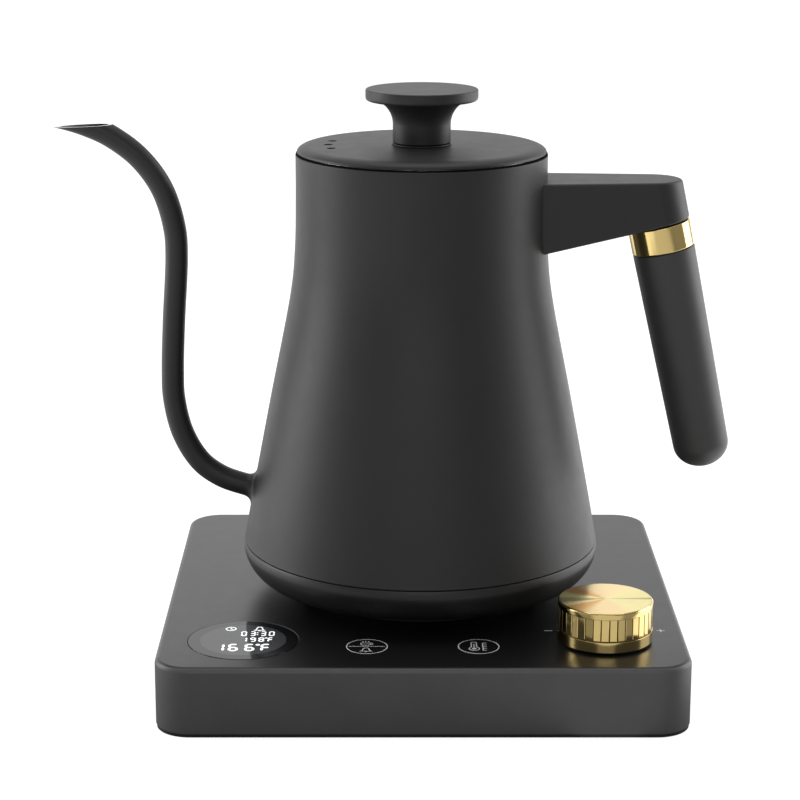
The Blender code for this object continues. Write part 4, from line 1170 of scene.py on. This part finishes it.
def panel(name, location, target, size_x, size_y, radiance):
    """A soft rectangular light that looks at the target; its brightness doesn't depend on its size."""
    light = bpy.data.lights.new(name, "AREA")
    light.shape = "RECTANGLE"
    light.size = size_x
    light.size_y = size_y
    light.energy = radiance * math.pi * size_x * size_y
    made = add(name, light)
    made.location = location
    made.rotation_euler = (Vector(target) - Vector(location)).to_track_quat("-Z", "Y").to_euler()


def make_studio():
    """A white sweep: pale floor, white backdrop, soft panels on both sides, overhead, behind and in front."""
    scene = bpy.context.scene
    scene.view_settings.view_transform = "Standard"
    world = bpy.data.worlds.new("studio")
    scene.world = world
    world.use_nodes = True
    nodes, links = world.node_tree.nodes, world.node_tree.links
    background = nodes["Background"]
    background.inputs["Color"].default_value = (1, 1, 1, 1)
    rays = nodes.new("ShaderNodeLightPath")
    strength = nodes.new("ShaderNodeMapRange")
    strength.inputs["To Min"].default_value = 0.25
    strength.inputs["To Max"].default_value = 1.05
    links.new(rays.outputs["Is Camera Ray"], strength.inputs["Value"])
    links.new(strength.outputs["Result"], background.inputs["Strength"])

    shape = bmesh.new()
    bmesh.ops.create_grid(shape, x_segments=1, y_segments=1, size=1.6)
    floor = new_object("studio_floor", shape, [make_floor_material()])

    centre = (AXIS.x, 0, 0.11)
    panel("overhead", (AXIS.x, 0.15, 1.5), centre, 1.6, 1.2, 1.2)
    panel("left_panel", (-1.25, 0.25, 0.45), centre, 0.9, 1.1, 3.7)
    panel("right_panel", (1.2, 0.38, 0.45), centre, 0.9, 1.1, 3.1)
    panel("backdrop_left", (-1.1, 1.9, 1.02), (-1.1, 0, 1.02), 2.2, 2.0, 0.86)
    panel("backdrop_right", (1.1, 1.9, 1.02), (1.1, 0, 1.02), 2.2, 2.0, 0.77)
    panel("front_panel", (0.0, -2.2, 1.0), centre, 1.6, 1.0, 1.4)


def make_floor_material():
    """A pale floor; reflections see it brighter to the right, to the left and in front of the base."""
    made = Surface("studio_floor", Roughness=0.9)
    made.colour(made.noise(3, 2), (0.29, 0.29, 0.29), (0.31, 0.31, 0.31))
    made.shader.inputs["Emission Color"].default_value = (1, 1, 1, 1)
    parts = made.node("ShaderNodeSeparateXYZ")
    made.link(made.place, parts.inputs["Vector"])
    x, y = parts.outputs["X"], parts.outputs["Y"]
    right = made.math("MULTIPLY", made.spread(x, 0.0, 1.5, 0.13, 0.18),
                      made.spread(y, 0.0, 1.0, -0.12, -0.09))
    left = made.spread(x, 0.9, 0.0, -0.22, -0.13)
    beside = made.math("ABSOLUTE", made.math("SUBTRACT", x, DIAL.x))
    before = made.math("MAXIMUM", made.math("SUBTRACT", -0.08, y), 0.001)
    ahead = made.spread(made.math("DIVIDE", beside, before), 0.36, 0.0, 0.6, 1.0)
    glow = made.math("ADD", made.math("ADD", right, left), ahead)
    rays = made.node("ShaderNodeLightPath")
    blend = made.node("ShaderNodeMapRange")
    blend.inputs["To Max"].default_value = 0.88
    made.link(rays.outputs["Is Camera Ray"], blend.inputs["Value"])
    made.link(glow, blend.inputs["To Min"])
    made.link(blend.outputs["Result"], made.shader.inputs["Emission Strength"])
    return made.material


def make_camera():
    data = bpy.data.cameras.new("camera")
    data.lens = 106.15
    data.sensor_width = 36
    data.shift_x = 0.0183
    camera = add("camera", data)
    camera.location = (AXIS.x - 13.46 * MM, -869.94 * MM, 323.02 * MM)
    camera.rotation_euler = (math.radians(75.6), 0, 0)
    bpy.context.scene.camera = camera


dress_cad_nodes()
make_camera()
make_base()
make_skirt_shadow_band()
make_feet()
make_glass()
make_readout()
make_key_marks()
make_dial_marks()
make_gland()
make_plug()
make_dial()
make_body()
make_spout()
make_spout_weld()
make_lower_cover()
make_socket()
make_bracket()
make_handle()
make_lid()
make_knob()
make_lid_underside()
make_studio()
